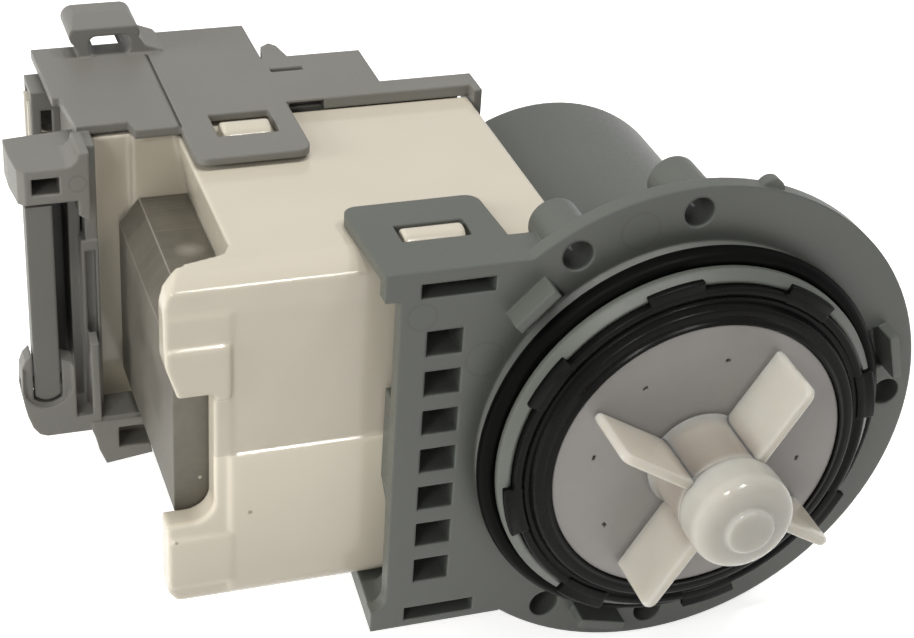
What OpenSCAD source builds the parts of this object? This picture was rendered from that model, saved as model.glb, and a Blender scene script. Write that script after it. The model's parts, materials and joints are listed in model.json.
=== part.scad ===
// Washer drain pump with a synchronous motor.
// Origin: on the impeller axis, in the front face of the round flange.
// The impeller faces -Y, the motor lies towards +Y, the stator block towards -X, and +Z is up.

/* [Flange and O-ring boss] */
// Radius of the round flange
flange_r = 40; // [38:0.5:42]
// Thickness of the flange and of the vent plate's skin
flange_t = 2.6; // [2:0.1:4]
// Radius of the boss that carries the O-ring
boss_r = 29.9; // [29:0.1:31]
// Length of the boss in front of the flange
boss_len = 7; // [6:0.5:9]
// Wall of the boss round the retaining ring
boss_rim = 1.7; // [1.4:0.1:2.6]
// Chamfer on the front edge of the boss
boss_chamfer = 1.3; // [0.5:0.1:1.5]
// Height of the slope where the boss meets the flange
boss_foot = 1.3; // [0.5:0.1:2]
// Thickness of the partition behind the impeller chamber
partition_t = 2.4; // [1.6:0.1:3]
// Radius of the O-ring's cord
oring_cord_r = 1.5; // [1:0.1:2]
// Distance of the O-ring's middle from the flange face
oring_y = 3.3; // [3:0.1:4]
// How deep the O-ring's groove is
groove_depth = 0.8; // [0.4:0.1:1.2]

/* [Screw holes] */
// Radius of the circle through the screw holes
screw_circle_r = 36; // [34:0.5:37]
// Diameter of a screw hole
screw_d = 4.7; // [4:0.1:5.2]
// Radius of the round boss behind a screw hole
screw_boss_r = 3.9; // [3.4:0.1:4.5]
// How far back the screw bosses reach
screw_boss_y = 10; // [6:0.5:14]

/* [Locking walls] */
// Number of locking walls that stand on the flange face
lock_count = 3; // [2:1:4]
// Angle of the first locking wall
lock_start = 14.6; // [0:0.1:30]
// Gap between the boss and a locking wall
lock_gap = 4.8; // [4:0.1:6]
// Thickness of a locking wall
lock_t = 1.5; // [1:0.1:2]
// Width of a locking wall
lock_w = 7.6; // [6:0.1:9]
// Height of a locking wall over the flange face
lock_h = 3.9; // [3:0.1:5]
// Depth of the pocket between a locking wall and the boss
lock_pocket = 1.9; // [1:0.1:2]

/* [Vent plate] */
// Left edge of the vent plate
plate_left = 43.8; // [42:0.2:46]
// Left edge of the plate's tabs, at the front
tab_left = 46.1; // [45:0.1:48]
// Right edge of the plate's tabs, at the front
tab_right = 25.5; // [24:0.5:28]
// How far the upper tab's left edge leans out towards its rear
tab_lean_top = 1; // [0:0.1:1.5]
// How far the lower tab's left edge leans in towards its rear
tab_lean_low = 1.5; // [0:0.1:2]
// How far the tabs' right edge leans in towards its rear
tab_lean_right = 1.1; // [0:0.1:1.5]
// Depth of the shelf between the upper tab and the screw boss
shelf_depth = 7.4; // [6:0.1:9]
// Height of the plate's top over the axis
plate_top = 31.5; // [30:0.5:33]
// Depth of the plate's bottom under the axis
plate_bottom = 31; // [30:0.5:33]
// How far the plate's frame stands back from its left edge
frame_inset = 1.9; // [1:0.1:2.4]
// Depth of the plate's frame towards the block
plate_depth = 7.5; // [6:0.5:7.5]
// Wall thickness of the housing
wall = 1.8; // [1.4:0.1:2.5]
// Number of vent windows in the column
vent_count = 7; // [5:1:8]
// Width of a vent window
vent_w = 5.4; // [4:0.2:7]
// Height of a vent window
vent_h = 4.25; // [3:0.05:5]
// Step from one vent window to the next
vent_pitch = 6.7; // [6:0.05:8]
// Middle of the vent column, left of the axis
vent_x = 37.05; // [35:0.05:39]
// Length of the slots over and under the vent column
slot_len = 11; // [8:0.1:12]
// Height of those slots
slot_h = 2.4; // [2:0.1:3]
// Middle of those slots, left of the axis
slot_x = 35.4; // [33:0.1:37]
// Height of the upper slot's middle over the axis
slot_up = 28.3; // [27:0.1:29]
// Depth of the lower slot's middle under the axis
slot_down = 28.7; // [27:0.1:29.5]
// Depth of those slots
slot_depth = 6; // [4:0.5:6.5]
// How far back the plate's tabs reach
tab_len = 20; // [16:0.5:24]
// Corner radius of the tabs
tab_round = 2.2; // [1:0.1:4]
// Length of the lower tab's thick part
ear_len = 15; // [8:0.5:16]

/* [Motor cup and can] */
// Outer radius of the motor cup
cup_r = 24.5; // [23:0.5:26]
// How far the motor cup reaches behind the block
cup_back = 4.4; // [2:0.1:6]
// Inner radius of the rotor can
can_r = 11.3; // [10.5:0.1:12]
// Wall thickness of the rotor can
can_wall = 1; // [0.8:0.1:1.4]
// How far the can's wide part stays before the stack's rear
can_inset = 0.5; // [0:0.1:2]
// Radius of the can's bearing pocket
pocket_r = 8; // [7:0.1:9]
// Depth of the can's bearing pocket
pocket_len = 5; // [4:0.1:6]

/* [Retaining ring and disc] */
// How far the ring's tabs end inside the boss's edge
ring_tab_inset = 0.3; // [0.1:0.1:0.9]
// Width of one ring tab in degrees
ring_tab_angle = 17; // [10:1:22]
// Angle of the first ring tab
ring_tab_start = 12; // [0:1:44]
// Number of tabs on the ring
ring_tab_count = 8; // [6:1:10]
// Width of the ring's dish round the disc behind the impeller
disc_rim = 5.5; // [5:0.1:7]
// Thickness of that disc
disc_t = 1.5; // [1:0.1:2]
// Front of the disc, in front of the flange
disc_y = 9.4; // [9:0.1:10]
// Distance of the disc's small holes from its edge
disc_hole_inset = 5.9; // [4:0.1:8]

/* [Impeller] */
// Radius of the blade tips
blade_r = 20.6; // [18:0.1:21]
// Thickness of a blade
blade_t = 1.6; // [1.2:0.1:2.2]
// Number of blades
blade_count = 4; // [3:1:6]
// Angle of the first blade
blade_angle = 58.2; // [0:0.1:90]
// Rear edge of the blades, in front of the flange
blade_rear = 9.9; // [9.8:0.1:10.5]
// Front edge of the blades
blade_front = 20.9; // [18:0.1:23]
// Radius of the hub
hub_r = 7.6; // [7:0.1:8]
// Radius of the hub's cap
cap_r = 7.8; // [7.6:0.1:8.6]
// Rear of the hub's cap, in front of the flange
cap_seat = 20.1; // [19.5:0.1:20.5]
// Front of the hub's cap
cap_front = 28.2; // [27:0.1:29]
// Radius of the small round pip on the cap
pip_r = 3.7; // [3:0.1:4.5]
// Free turn of the impeller to each side before the dog drives it
free_turn = 105; // [60:5:108]
// Width of the driving dog and of the impeller's stop in degrees
dog_angle = 60; // [40:5:70]
// Inner radius of the hollow hub
hub_cavity_r = 5.6; // [5:0.1:6]
// Inner radius of the impeller's stop
stop_r = 3.4; // [3:0.1:4]
// Front of the driving dog, in front of the flange
dog_front = 18.6; // [18:0.1:19]
// Length of the driving dog
dog_len = 6; // [4:0.5:7]

/* [Rotor] */
// Radius of the rotor shaft
shaft_r = 2; // [1.5:0.1:2.5]
// Outer radius of the magnet
magnet_r = 10.6; // [10:0.1:10.9]
// Bore of the magnet
magnet_bore_r = 5.5; // [4.5:0.1:6]
// Front end of the magnet
magnet_front = 13; // [11:0.5:15]
// How much shorter the magnet is than the stack
magnet_short = 5; // [4:0.5:10]
// Outer radius of the bearing bushes
bush_r = 5; // [4:0.1:6]
// Length of a bearing bush
bush_len = 4.4; // [4:0.1:6]
// Front end of the front bush
bush_front_y = 0.4; // [0:0.1:2]

/* [Stator] */
// Left face of the steel stack
steel_left = 73.3; // [71:0.5:74]
// Top of the yoke
yoke_top = 18.6; // [17:0.1:20]
// Bottom of the yoke
yoke_bottom = 13.2; // [12:0.1:16]
// Front of the steel stack
stack_front = 12.5; // [11:0.1:14]
// Depth of the steel stack
stack_len = 40; // [36:0.5:40]
// Thickness of the yoke's legs
yoke_w = 8; // [6:0.1:9]
// Width of the slope on the yoke's upper outer corner
yoke_slope = 3.2; // [1:0.1:5]
// Height of that slope
yoke_slope_h = 4; // [1:0.1:6]
// Chamfer on the yoke's lower outer corner
yoke_chamfer = 1; // [0.5:0.1:2]
// Outer radius of the pole shoes
pole_r = 20; // [18:0.1:22]
// Half the gap between the pole shoes, in degrees
pole_gap_angle = 14; // [8:1:24]
// Wall thickness of the coil bobbins
bobbin_wall = 1.2; // [0.8:0.1:1.6]
// Thickness of the winding on a leg
coil_t = 4.4; // [4:0.1:5.5]

/* [Block] */
// Right face of the block
block_right = 15.7; // [14:0.1:18]
// Left edge of the block's end walls
block_left = 75.2; // [74:0.1:76]
// Left edge of the end wall behind the yoke
block_left_rear = 77; // [76:0.1:78]
// Front face of the block
block_front = 8.3; // [8.2:0.1:9]
// Thickness of the block's rear end wall
end_wall_t = 3.1; // [2.5:0.1:4]
// Top of the block
block_top = 29.4; // [28:0.1:29.5]
// Bottom of the block
block_bottom = 27.4; // [26:0.1:28.5]
// Wall thickness around the coils
block_wall = 2; // [1.6:0.1:2.2]
// Left face of the block over the yoke, at its foot
notch_x = 62.4; // [62:0.1:64]
// The same face at the block's top
notch_top_x = 64.2; // [62:0.1:65]
// Right edge of the window in front of the yoke
window_x = 68.2; // [67:0.1:70]
// Top of that window
window_top = 10.7; // [9:0.1:12]
// Bottom of that window, under the axis
window_low = 12; // [10:0.1:14]
// Radius of the window's lower corner
window_r = 3.5; // [2:0.1:5]
// Depth of the slope along the block's upper front edge
top_slope = 4; // [2:0.5:5]
// Height of that slope
top_drop = 2.2; // [1:0.1:3]
// Height of the leaning band under it
band_h = 3.8; // [2:0.1:5]
// How far that band leans back
band_lean = 0.35; // [0.1:0.05:0.5]
// Radius on the block's long bottom edges
block_round_low = 4.5; // [2:0.5:5]
// Height of the raised pads on the block's front
pad_h = 0.9; // [0.4:0.1:1.2]
// How far the lower half of the front stands proud
step_h = 0.7; // [0.2:0.1:0.7]
// Height of a catch over the block
catch_h = 2.4; // [1.4:0.1:2.6]
// Height of the catches under the block for the vent plate
catch_h_low = 3.3; // [2.5:0.1:3.5]

/* [Rear bracket] */
// Top of the bracket's raised strip
strip_top = 31.5; // [31:0.1:32]
// Plate thickness of the bracket
bracket_t = 1.9; // [1.4:0.1:2]
// Front end of the bracket's tab; a minus stands before the block's rear face
strip_front = -16.8; // [-20:0.1:-14]
// Rear end of the raised strip, behind the block's rear face
strip_rear = 29.4; // [27:0.1:31]
// Left edge of the raised strip
strip_left = 63.8; // [62:0.1:66]
// Right edge of the raised strip
strip_right = 46; // [44:0.1:48]
// Thickness of the bracket's tabs
tab_t = 1.2; // [1:0.1:1.8]
// Thickness of the side plate
side_t = 1.5; // [1.2:0.1:1.9]
// Left edge of the side plate at its rear
side_left = 81.7; // [80:0.1:83]
// Rear end of the side plate, behind the block's rear face
side_rear = 26.4; // [24:0.1:28]
// Left wall of the terminal chamber
chamber_left = 79; // [78:0.1:80]
// Rear edge of the middle plate, behind the block's rear face
mid_rear = 16.1; // [12:0.1:19]
// Rear edge of the rail, behind the block's rear face
rail_rear = 3.9; // [2:0.1:6]
// Bottom of the terminal chamber
chamber_bottom = 17.5; // [16:0.5:20]
// Radius of the thermal fuse
fuse_r = 2.4; // [1.8:0.1:2.8]
// Length of the thermal fuse
fuse_len = 14; // [10:0.5:18]

/* [Latch bar] */
// Left side of the bar
bar_left = 88.5; // [87:0.1:90]
// Width of the bar
bar_w = 4; // [3:0.1:5]
// Front face of the bar, before the block's rear face
bar_front = -10.1; // [-11:0.1:-9]
// Depth of the bar
bar_t = 3; // [2:0.1:4]
// Top end of the bar
bar_top = 22.6; // [20:0.1:23]
// Height of the bar's pivot under the axis
pivot_drop = 9.4; // [8:0.1:11]
// Radius of the pivot pins
pivot_r = 1; // [0.8:0.1:1.3]
// Length of each pivot pin
pivot_len = 1.2; // [1:0.1:2]

/* [Connector] */
// Left end of the connector
conn_left = 83.5; // [82:0.1:85]
// Right end of the connector
conn_right = 74; // [72:0.1:76]
// Front face of the connector, behind the block's rear face
conn_front = 15.8; // [14:0.1:17]
// Rear face of the connector, behind the block's rear face
conn_rear = 22.6; // [21:0.1:23]
// Top of the connector
conn_top = 29; // [27:0.1:29.4]
// Bottom of the connector, under the axis
conn_bottom = 10; // [8:0.1:14]
// Wall of the connector's shroud
shroud_wall = 1; // [0.8:0.1:1.4]
// Height of the upper terminal's middle
terminal_z = 14; // [12:0.5:16]
// Step from the upper to the lower terminal
terminal_step = 10; // [8:0.5:14]
// Thickness of a terminal
terminal_t = 0.8; // [0.5:0.1:1]
// Width of a terminal
terminal_w = 6.3; // [4.8:0.1:6.5]

/* [Fits] */
// Clearance of a running fit, on the radius
run_fit = 0.04; // [0.01:0.01:0.1]
// Clearance between fixed neighbours
fixed_fit = 0.1; // [0.05:0.01:0.2]
// Least clearance between a moving part and its neighbours
free_fit = 0.3; // [0.3:0.05:0.6]

/* [Hidden] */
round_fn = 96;
small_fn = 48;
eps = 0.01;
big = 200;

// Colours of the pieces
housing_grey = [0.40, 0.42, 0.41];
bracket_grey = [0.51, 0.51, 0.49];
cream = [0.83, 0.80, 0.73];
black = [0.05, 0.05, 0.05];
steel_grey = [0.43, 0.41, 0.37];
nylon = [0.85, 0.84, 0.80];
copper = [0.72, 0.42, 0.22];
brass = [0.78, 0.66, 0.36];

screw_angles = [0, 90, 120, 240, 270];

boss_bore_r = boss_r - boss_rim;
lock_in = boss_r + lock_gap;
ring_tab_r = boss_r - ring_tab_inset;
disc_r = boss_bore_r - disc_rim;
disc_hole_circle_r = disc_r - disc_hole_inset;
can_outer_r = can_r + can_wall;
cup_inner_r = cup_r - wall;
cup_cut = block_right - free_fit;
mount_r = can_r - fixed_fit;
stack_rear = stack_front + stack_len;
block_rear = stack_rear + end_wall_t;
cup_end = block_rear + cup_back;
can_end = stack_rear - can_inset;
magnet_len = stack_len - magnet_short;
leg_top = [yoke_top - yoke_w, yoke_top];
leg_low = [-yoke_bottom, -yoke_bottom + yoke_w];
yoke_right = notch_x + fixed_fit;
dovetail = 2.2;
neck = 1.6;
front_catch = [-40.6, -31.4, 8.9, 13];
rear_catch = [-58, -50.4, -9.7, -4.4];
rear_wall = 1.8;
rear_wall_t = 2;
shelf_z = -18.5;
cavity_left = notch_x - block_wall;
cavity_right = block_right + block_wall;
bobbin_left = cavity_left - fixed_fit;
bobbin_right = cavity_right + fixed_fit;
pivot_y = bar_front + bar_t / 2;
bar_mid = bar_left - bar_w / 2;
magnet_end = magnet_front + magnet_len;
bush_rear_y = can_end + 0.2;
washer_t = 0.8;
dog_y0 = -dog_front;
dog_y1 = dog_len - dog_front;
dog_r = hub_cavity_r - 0.4;
fuse_x = -56;
fuse_y = rear_wall + rear_wall_t + fuse_r + fixed_fit;
fuse_z = 4;
conn_y = (conn_front + conn_rear) / 2;
terminal_x = -69.4;
foot_r = bar_w / 2 + 0.6;
nub_angle = 73;
nub_r = 1.9;

// A box given by its six faces
module box(x0, x1, y0, y1, z0, z1) {
  translate([x0, y0, z0])
    cube([x1 - x0, y1 - y0, z1 - z0]);
}

// A body turned about the pump axis, from a profile of radius and depth
module turned(points) {
  rotate([-90, 0, 0])
    rotate_extrude($fn = round_fn)
      polygon(points);
}

// A round bar along the pump axis
module rod(r, y0, y1, fn = round_fn) {
  translate([0, y0, 0])
    rotate([-90, 0, 0])
      cylinder(r = r, h = y1 - y0, $fn = fn);
}

// A tube along the pump axis
module tube(r_out, r_in, y0, y1, fn = round_fn) {
  difference() {
    rod(r_out, y0, y1, fn);
    rod(r_in, y0 - eps, y1 + eps, fn);
  }
}

// Places a child at an angle round the pump axis, from +X towards +Z
module at_angle(a) {
  rotate([0, -a, 0])
    children();
}

// Pulls a shape of the XZ plane out along the pump axis
module slab(y0, y1) {
  translate([0, y1, 0])
    rotate([90, 0, 0])
      linear_extrude(height = y1 - y0)
        children();
}

// Pulls a shape of the XY plane up
module layer(z0, z1) {
  translate([0, 0, z0])
    linear_extrude(height = z1 - z0)
      children();
}

// Places a child whose depth is measured from the block's rear face
module behind_block() {
  translate([0, block_rear, 0])
    children();
}

// A rectangle with four round corners
module round_rect(x0, x1, y0, y1, r) {
  translate([x0 + r, y0])
    square([x1 - x0 - 2 * r, y1 - y0]);
  translate([x0, y0 + r])
    square([x1 - x0, y1 - y0 - 2 * r]);
  for (x = [x0 + r, x1 - r])
    for (y = [y0 + r, y1 - r])
      translate([x, y])
        circle(r = r, $fn = small_fn);
}

// A sector of a ring round the pump axis, as a flat shape
module ring_sector(r_out, r_in, half_angle) {
  difference() {
    intersection() {
      circle(r = r_out, $fn = round_fn);
      polygon([[0, 0],
        [2 * r_out * cos(half_angle), -2 * r_out * sin(half_angle)],
        [2 * r_out * cos(half_angle), 2 * r_out * sin(half_angle)]]);
    }
    circle(r = r_in, $fn = round_fn);
  }
}

// Cutter that rounds an edge along X: side picks the front or rear, up the top or bottom
module round_x(x0, x1, y, z, r, side, up) {
  difference() {
    translate([x0, y - r + side * r, z - r - up * r])
      cube([x1 - x0, 2 * r, 2 * r]);
    translate([x0 - eps, y + side * r, z - up * r])
      rotate([0, 90, 0])
        cylinder(r = r, h = x1 - x0 + 2 * eps, $fn = small_fn);
    translate([x0 - eps, side > 0 ? y + r : y - 2 * r, z - r - up * r - eps])
      cube([x1 - x0 + 2 * eps, r + eps, 2 * r + 2 * eps]);
    translate([x0 - eps, y - r + side * r - eps, up > 0 ? z - 2 * r - eps : z + r])
      cube([x1 - x0 + 2 * eps, 2 * r + 2 * eps, r + eps]);
  }
}

// One vent window frame's inner space, counted from the top
function vent_z(i) = ((vent_count - 1) / 2 - i) * vent_pitch - 0.5;

// The flange, vent plate, O-ring boss, motor cup and rotor can, moulded in one
module flange_housing() {
  frame_in = 1.6;
  frame_left = plate_left - frame_inset;
  ear_top = 4.4;
  ear_low = -block_bottom - fixed_fit;
  shelf_reach = 4;
  boss_cut = block_front - fixed_fit;
  slot_zs = [slot_up, -slot_down];
  color(housing_grey)
    difference() {
      union() {
        // round flange and plate skin
        rod(flange_r, 0, flange_t);
        box(-plate_left, -tab_right + eps, 0, flange_t, -plate_bottom, plate_top);
        // plate frame, open to the back
        difference() {
          box(-frame_left, -tab_right, flange_t - eps, plate_depth, -plate_bottom, plate_top);
          box(-frame_left + wall, -tab_right + eps, 0, plate_depth + eps, -plate_bottom + wall,
            plate_top - wall);
        }
        // ribs that frame the vent windows
        for (side = [-1, 1])
          translate([-vent_x + side * (vent_w + frame_in) / 2 - frame_in / 2, eps, -plate_bottom + eps])
            cube([frame_in, plate_depth - eps, plate_bottom + plate_top - 2 * eps]);
        for (i = [0 : vent_count])
          box(-vent_x - vent_w / 2 - eps, -vent_x + vent_w / 2 + eps, eps, plate_depth,
            vent_z(i) + vent_h / 2 + eps, vent_z(i) + vent_pitch - vent_h / 2 - eps);
        // boxes behind the two long slots
        for (z = slot_zs)
          box(-slot_x - slot_len / 2 - 1, -slot_x + slot_len / 2 + 1, eps, slot_depth + 1,
            z - slot_h / 2 - 1, z + slot_h / 2 + 1);
        // ears and the lug on the plate's left edge
        box(-tab_left, -frame_left + eps, 0, flange_t, plate_top - ear_top, plate_top);
        layer(-plate_bottom, ear_low)
          polygon([[-tab_left, 0], [-tab_left + tab_lean_low * ear_len / tab_len, ear_len],
            [-frame_left + 1, ear_len], [-frame_left + 1, 0]]);
        slab(0, flange_t)
          inner_round(-plate_left, ear_low, tab_left - plate_left);
        slab(flange_t - eps, plate_depth)
          inner_round(-frame_left, ear_low, tab_left - plate_left);
        slab(flange_t - eps, plate_depth)
          polygon([[-frame_left + 1, 8], [-plate_left + 0.8, 8], [-plate_left + 0.7, -7.5],
            [-plate_left + 1, -9], [-frame_left, -14], [-frame_left + 1, -14]]);
        // tabs that clip over the block
        plate_tab(plate_top - wall, tab_lean_top, 0.6);
        plate_tab(-plate_bottom, -tab_lean_low, 0.2);
        // shelf that joins the upper tab to the screw boss
        box(-tab_right - 1, -tab_right + shelf_reach, 0, shelf_depth, plate_top - wall, plate_top);
        // boss for the O-ring, with a sloping foot
        turned([[boss_bore_r - 4, 0.5], [boss_r + boss_foot, 0.5], [boss_r + boss_foot, 0],
          [boss_r, -boss_foot], [boss_r, -boss_len + boss_chamfer],
          [boss_r - boss_chamfer, -boss_len], [boss_bore_r - 4, -boss_len]]);
        // bosses behind the screw holes
        for (a = screw_angles)
          at_angle(a)
            translate([screw_circle_r, 0, 0])
              rod(screw_boss_r, eps, screw_boss_y);
        // motor cup
        rod(cup_r, flange_t - eps, cup_end);
        // locking walls
        for (i = [0 : lock_count - 1])
          at_angle(lock_start + i * 360 / lock_count)
            box(lock_in, lock_in + lock_t, -lock_h, eps, -lock_w / 2, lock_w / 2);
        // small nub on the rim
        at_angle(nub_angle)
          translate([flange_r - 0.6, 0, 0])
            rod(nub_r, 0.8, flange_t, small_fn);
      }
      // bore of the boss and the chamber behind the disc
      rod(boss_bore_r, -boss_len - eps, -partition_t);
      // inside of the cup around the can
      difference() {
        rod(cup_inner_r, flange_t, cup_end + eps);
        rod(can_outer_r, flange_t - eps, can_end + can_wall);
        rod(pocket_r + can_wall, can_end, can_end + pocket_len + can_wall);
      }
      // inside of the rotor can and its bearing pocket
      rod(can_r, -partition_t - eps, can_end);
      rod(pocket_r, can_end - eps, can_end + pocket_len);
      // open side of the cup towards the block, and room for the block beside the screw bosses
      box(-cup_r - 1, -cup_cut, plate_depth, cup_end + 1, -cup_r - 1, cup_r + 1);
      box(-screw_circle_r, -cup_cut, boss_cut, screw_boss_y + 1, -block_bottom - fixed_fit,
        block_top + fixed_fit);
      // groove for the O-ring
      tube(boss_r + 2, boss_r - groove_depth, -oring_y - oring_cord_r, -oring_y + oring_cord_r);
      // screw holes
      for (a = screw_angles)
        at_angle(a)
          translate([screw_circle_r, 0, 0])
            rod(screw_d / 2, -eps, screw_boss_y + 1, small_fn);
      // vent windows and the long slots over and under them
      for (i = [0 : vent_count - 1])
        box(-vent_x - vent_w / 2, -vent_x + vent_w / 2, -eps, plate_depth + eps,
          vent_z(i) - vent_h / 2, vent_z(i) + vent_h / 2);
      for (z = slot_zs)
        box(-slot_x - slot_len / 2, -slot_x + slot_len / 2, -eps, slot_depth, z - slot_h / 2,
          z + slot_h / 2);
      // pockets between the locking walls and the boss
      for (i = [0 : lock_count - 1])
        at_angle(lock_start + i * 360 / lock_count)
          box(boss_r + boss_foot + 0.2, lock_in, -1, lock_pocket, -lock_w / 2, lock_w / 2);
    }
}

// Window of a tab round a catch of the block, with its play at the sides, front and rear
module tab_window(catch, side, front, rear) {
  layer(-big / 2, big / 2)
    round_rect(catch[0] - side, catch[1] + side, catch[2] - front, catch[3] + rear, 0.4);
}

// Fills the inner corner left of x and over z with a concave quarter round
module inner_round(x, z, r) {
  difference() {
    translate([x - r, z - eps])
      square([r + eps, r]);
    translate([x - r, z + r])
      circle(r = r - eps, $fn = small_fn);
  }
}

// Tab of the vent plate that clips over the block; its long edges lean, its rear corners are round
module plate_tab(z, lean, play) {
  leans = [lean, tab_lean_right];
  angles = [atan(leans[0] / tab_len), atan(leans[1] / tab_len)];
  mid_y = tab_len - tab_round;
  mid_l = -tab_left - leans[0] * mid_y / tab_len + tab_round / cos(angles[0]);
  mid_r = -tab_right - leans[1] * mid_y / tab_len - tab_round / cos(angles[1]);
  difference() {
    layer(z, z + wall) {
      polygon([[-tab_left, 0],
        [mid_l - tab_round * cos(angles[0]), mid_y - tab_round * sin(angles[0])],
        [mid_l, tab_len], [mid_r, tab_len],
        [mid_r + tab_round * cos(angles[1]), mid_y + tab_round * sin(angles[1])],
        [-tab_right, 0]]);
      for (x = [mid_l, mid_r])
        translate([x, mid_y])
          circle(r = tab_round, $fn = small_fn);
    }
    tab_window(front_catch, play, 0.4, 0.4);
  }
}

// Cap that closes the rear of the motor cup
module rear_cap() {
  cap_t = 1.6;
  cap_rr = cup_inner_r - fixed_fit;
  rim = 3;
  hole_circle_r = 14.5;
  hole_r = 1.6;
  color(housing_grey)
    difference() {
      union() {
        rod(cap_rr, cup_end - cap_t, cup_end - eps);
        tube(cap_rr, cap_rr - 1.4, cup_end - cap_t - rim, cup_end - cap_t + eps);
      }
      rod(pocket_r + can_wall + fixed_fit, cup_end - cap_t - rim - 1, cup_end - cap_t + 0.8);
      box(-cup_r, -cup_cut + fixed_fit, 0, cup_end + 1, -cup_r, cup_r);
      for (a = [30 : 60 : 330])
        at_angle(a)
          translate([hole_circle_r, cup_end, 0])
            rod(hole_r, -cap_t - 1, 1, small_fn);
    }
}

// O-ring round the boss
module o_ring() {
  color(black)
    translate([0, -oring_y, 0])
      rotate([-90, 0, 0])
        rotate_extrude($fn = round_fn)
          translate([boss_r - groove_depth + oring_cord_r + fixed_fit / 2, 0])
            circle(r = oring_cord_r, $fn = small_fn);
}

// Black ring with eight tabs that holds the disc in the boss
module retaining_ring() {
  tab_y0 = -boss_len - 1.2;
  skirt_r = boss_bore_r - fixed_fit;
  lip_r = disc_r + fixed_fit;
  color(black)
    difference() {
      union() {
        // stepped ring: skirt in the bore, dished face, inner lip
        turned([[skirt_r - 1.6, -partition_t - fixed_fit], [skirt_r, -partition_t - fixed_fit],
          [skirt_r, tab_y0], [skirt_r - 1.2, tab_y0 - 0.1], [skirt_r - 1.9, tab_y0 + 0.9],
          [lip_r + 2.7, tab_y0 + 0.9], [lip_r + 2.5, -disc_y - 0.1], [lip_r + 1.5, -disc_y - 0.1],
          [lip_r + 1.3, -disc_y + 0.3], [lip_r + 0.6, -disc_y + 0.3], [lip_r + 0.5, -disc_y - 0.4],
          [lip_r, -disc_y - 0.4],
          [lip_r, -disc_y + disc_t + fixed_fit], [lip_r - 1.8, -disc_y + disc_t + fixed_fit],
          [lip_r - 1.8, -disc_y + disc_t + 1.6], [skirt_r - 1.6, -disc_y + disc_t + 1.6]]);
        // tabs over the front of the boss
        for (i = [0 : ring_tab_count - 1])
          at_angle(ring_tab_start + i * 360 / ring_tab_count)
            slab(tab_y0, -boss_len - fixed_fit)
              ring_sector(ring_tab_r, skirt_r - 1.5, ring_tab_angle / 2);
      }
      // two small notches in the inner lip
      for (a = [118, 152])
        at_angle(a)
          box(disc_r - 2, lip_r + 1, -disc_y - 1, -disc_y + 0.2, -1, 1);
    }
}

// Pale disc behind the impeller, with eight small holes
module cover_disc() {
  hole_w = 0.5;
  hole_l = 0.8;
  color(nylon)
    difference() {
      rod(disc_r, -disc_y, -disc_y + disc_t);
      rod(bush_r - 0.8, -disc_y - 1, -disc_y + disc_t + 1, small_fn);
      for (i = [0 : 7])
        at_angle(-9.6 + i * 45)
          box(disc_hole_circle_r - hole_w / 2, disc_hole_circle_r + hole_w / 2, -disc_y - 1,
            -disc_y + disc_t + 1, -hole_l / 2, hole_l / 2);
    }
}

// Impeller with four flat blades and a hollow hub
module impeller() {
  cavity_front = -cap_seat + 0.7;
  hub_front = -cap_seat + fixed_fit;
  color(nylon)
    difference() {
      union() {
        turned([[0, -blade_rear], [hub_r - 0.4, -blade_rear], [hub_r, -blade_rear - 0.5],
          [hub_r - 0.2, hub_front], [0, hub_front]]);
        for (i = [0 : blade_count - 1])
          at_angle(blade_angle + i * 360 / blade_count)
            slab(-blade_front, -blade_rear) {
              translate([hub_r - 1, -blade_t / 2])
                square([blade_r - hub_r + 1 - blade_t / 2, blade_t]);
              translate([blade_r - blade_t / 2, 0])
                circle(r = blade_t / 2, $fn = small_fn);
            }
      }
      // room for the cap between the blades
      rod(cap_r + fixed_fit, -blade_front - 1, hub_front);
      // bore on the shaft
      rod(shaft_r + run_fit, -blade_rear - 3, -blade_rear + 1, small_fn);
      // space for the dog, open to the front, with a stop left standing
      difference() {
        rod(hub_cavity_r, cavity_front - 1, dog_y1 + free_fit);
        at_angle(180)
          slab(hub_front, dog_y1 + free_fit + eps)
            ring_sector(hub_cavity_r + 1, stop_r, dog_angle / 2);
      }
    }
}

// Rounded cap on the front of the hub
module impeller_cap() {
  color(nylon)
    turned([[0, -cap_seat], [cap_r - 0.3, -cap_seat], [cap_r, -cap_seat - 0.4],
      [cap_r, -cap_front + 3.3], [cap_r - 0.25, -cap_front + 2.5], [cap_r - 0.9, -cap_front + 1.8],
      [cap_r - 2, -cap_front + 1.3], [pip_r + 0.3, -cap_front + 1], [pip_r, -cap_front + 0.8],
      [pip_r - 0.2, -cap_front + 0.3], [pip_r - 0.9, -cap_front], [0, -cap_front - 0.1]]);
}

// Rubber cushion on a flank of the impeller's stop
module cushion(side) {
  half = 3.6;
  color(black)
    at_angle(180 + side * (dog_angle / 2 + half + 0.6))
      slab(dog_y0 + 0.2, dog_y1 - 0.2)
        ring_sector(hub_cavity_r - fixed_fit, stop_r + free_fit, half);
}

// Cushion on the upper flank
module cushion_upper() {
  cushion(-1);
}

// Cushion on the lower flank
module cushion_lower() {
  cushion(1);
}

// Dog on the shaft that drives the impeller after its free turn
module drive_dog() {
  dog_bore = shaft_r + fixed_fit / 4;
  color(cream)
    difference() {
      union() {
        rod(stop_r - free_fit, dog_y0, dog_y1, small_fn);
        slab(dog_y0, dog_y1)
          ring_sector(dog_r, shaft_r, dog_angle / 2 - 6);
      }
      rod(dog_bore, dog_y0 - 1, dog_y1 + 1, small_fn);
    }
}

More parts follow.
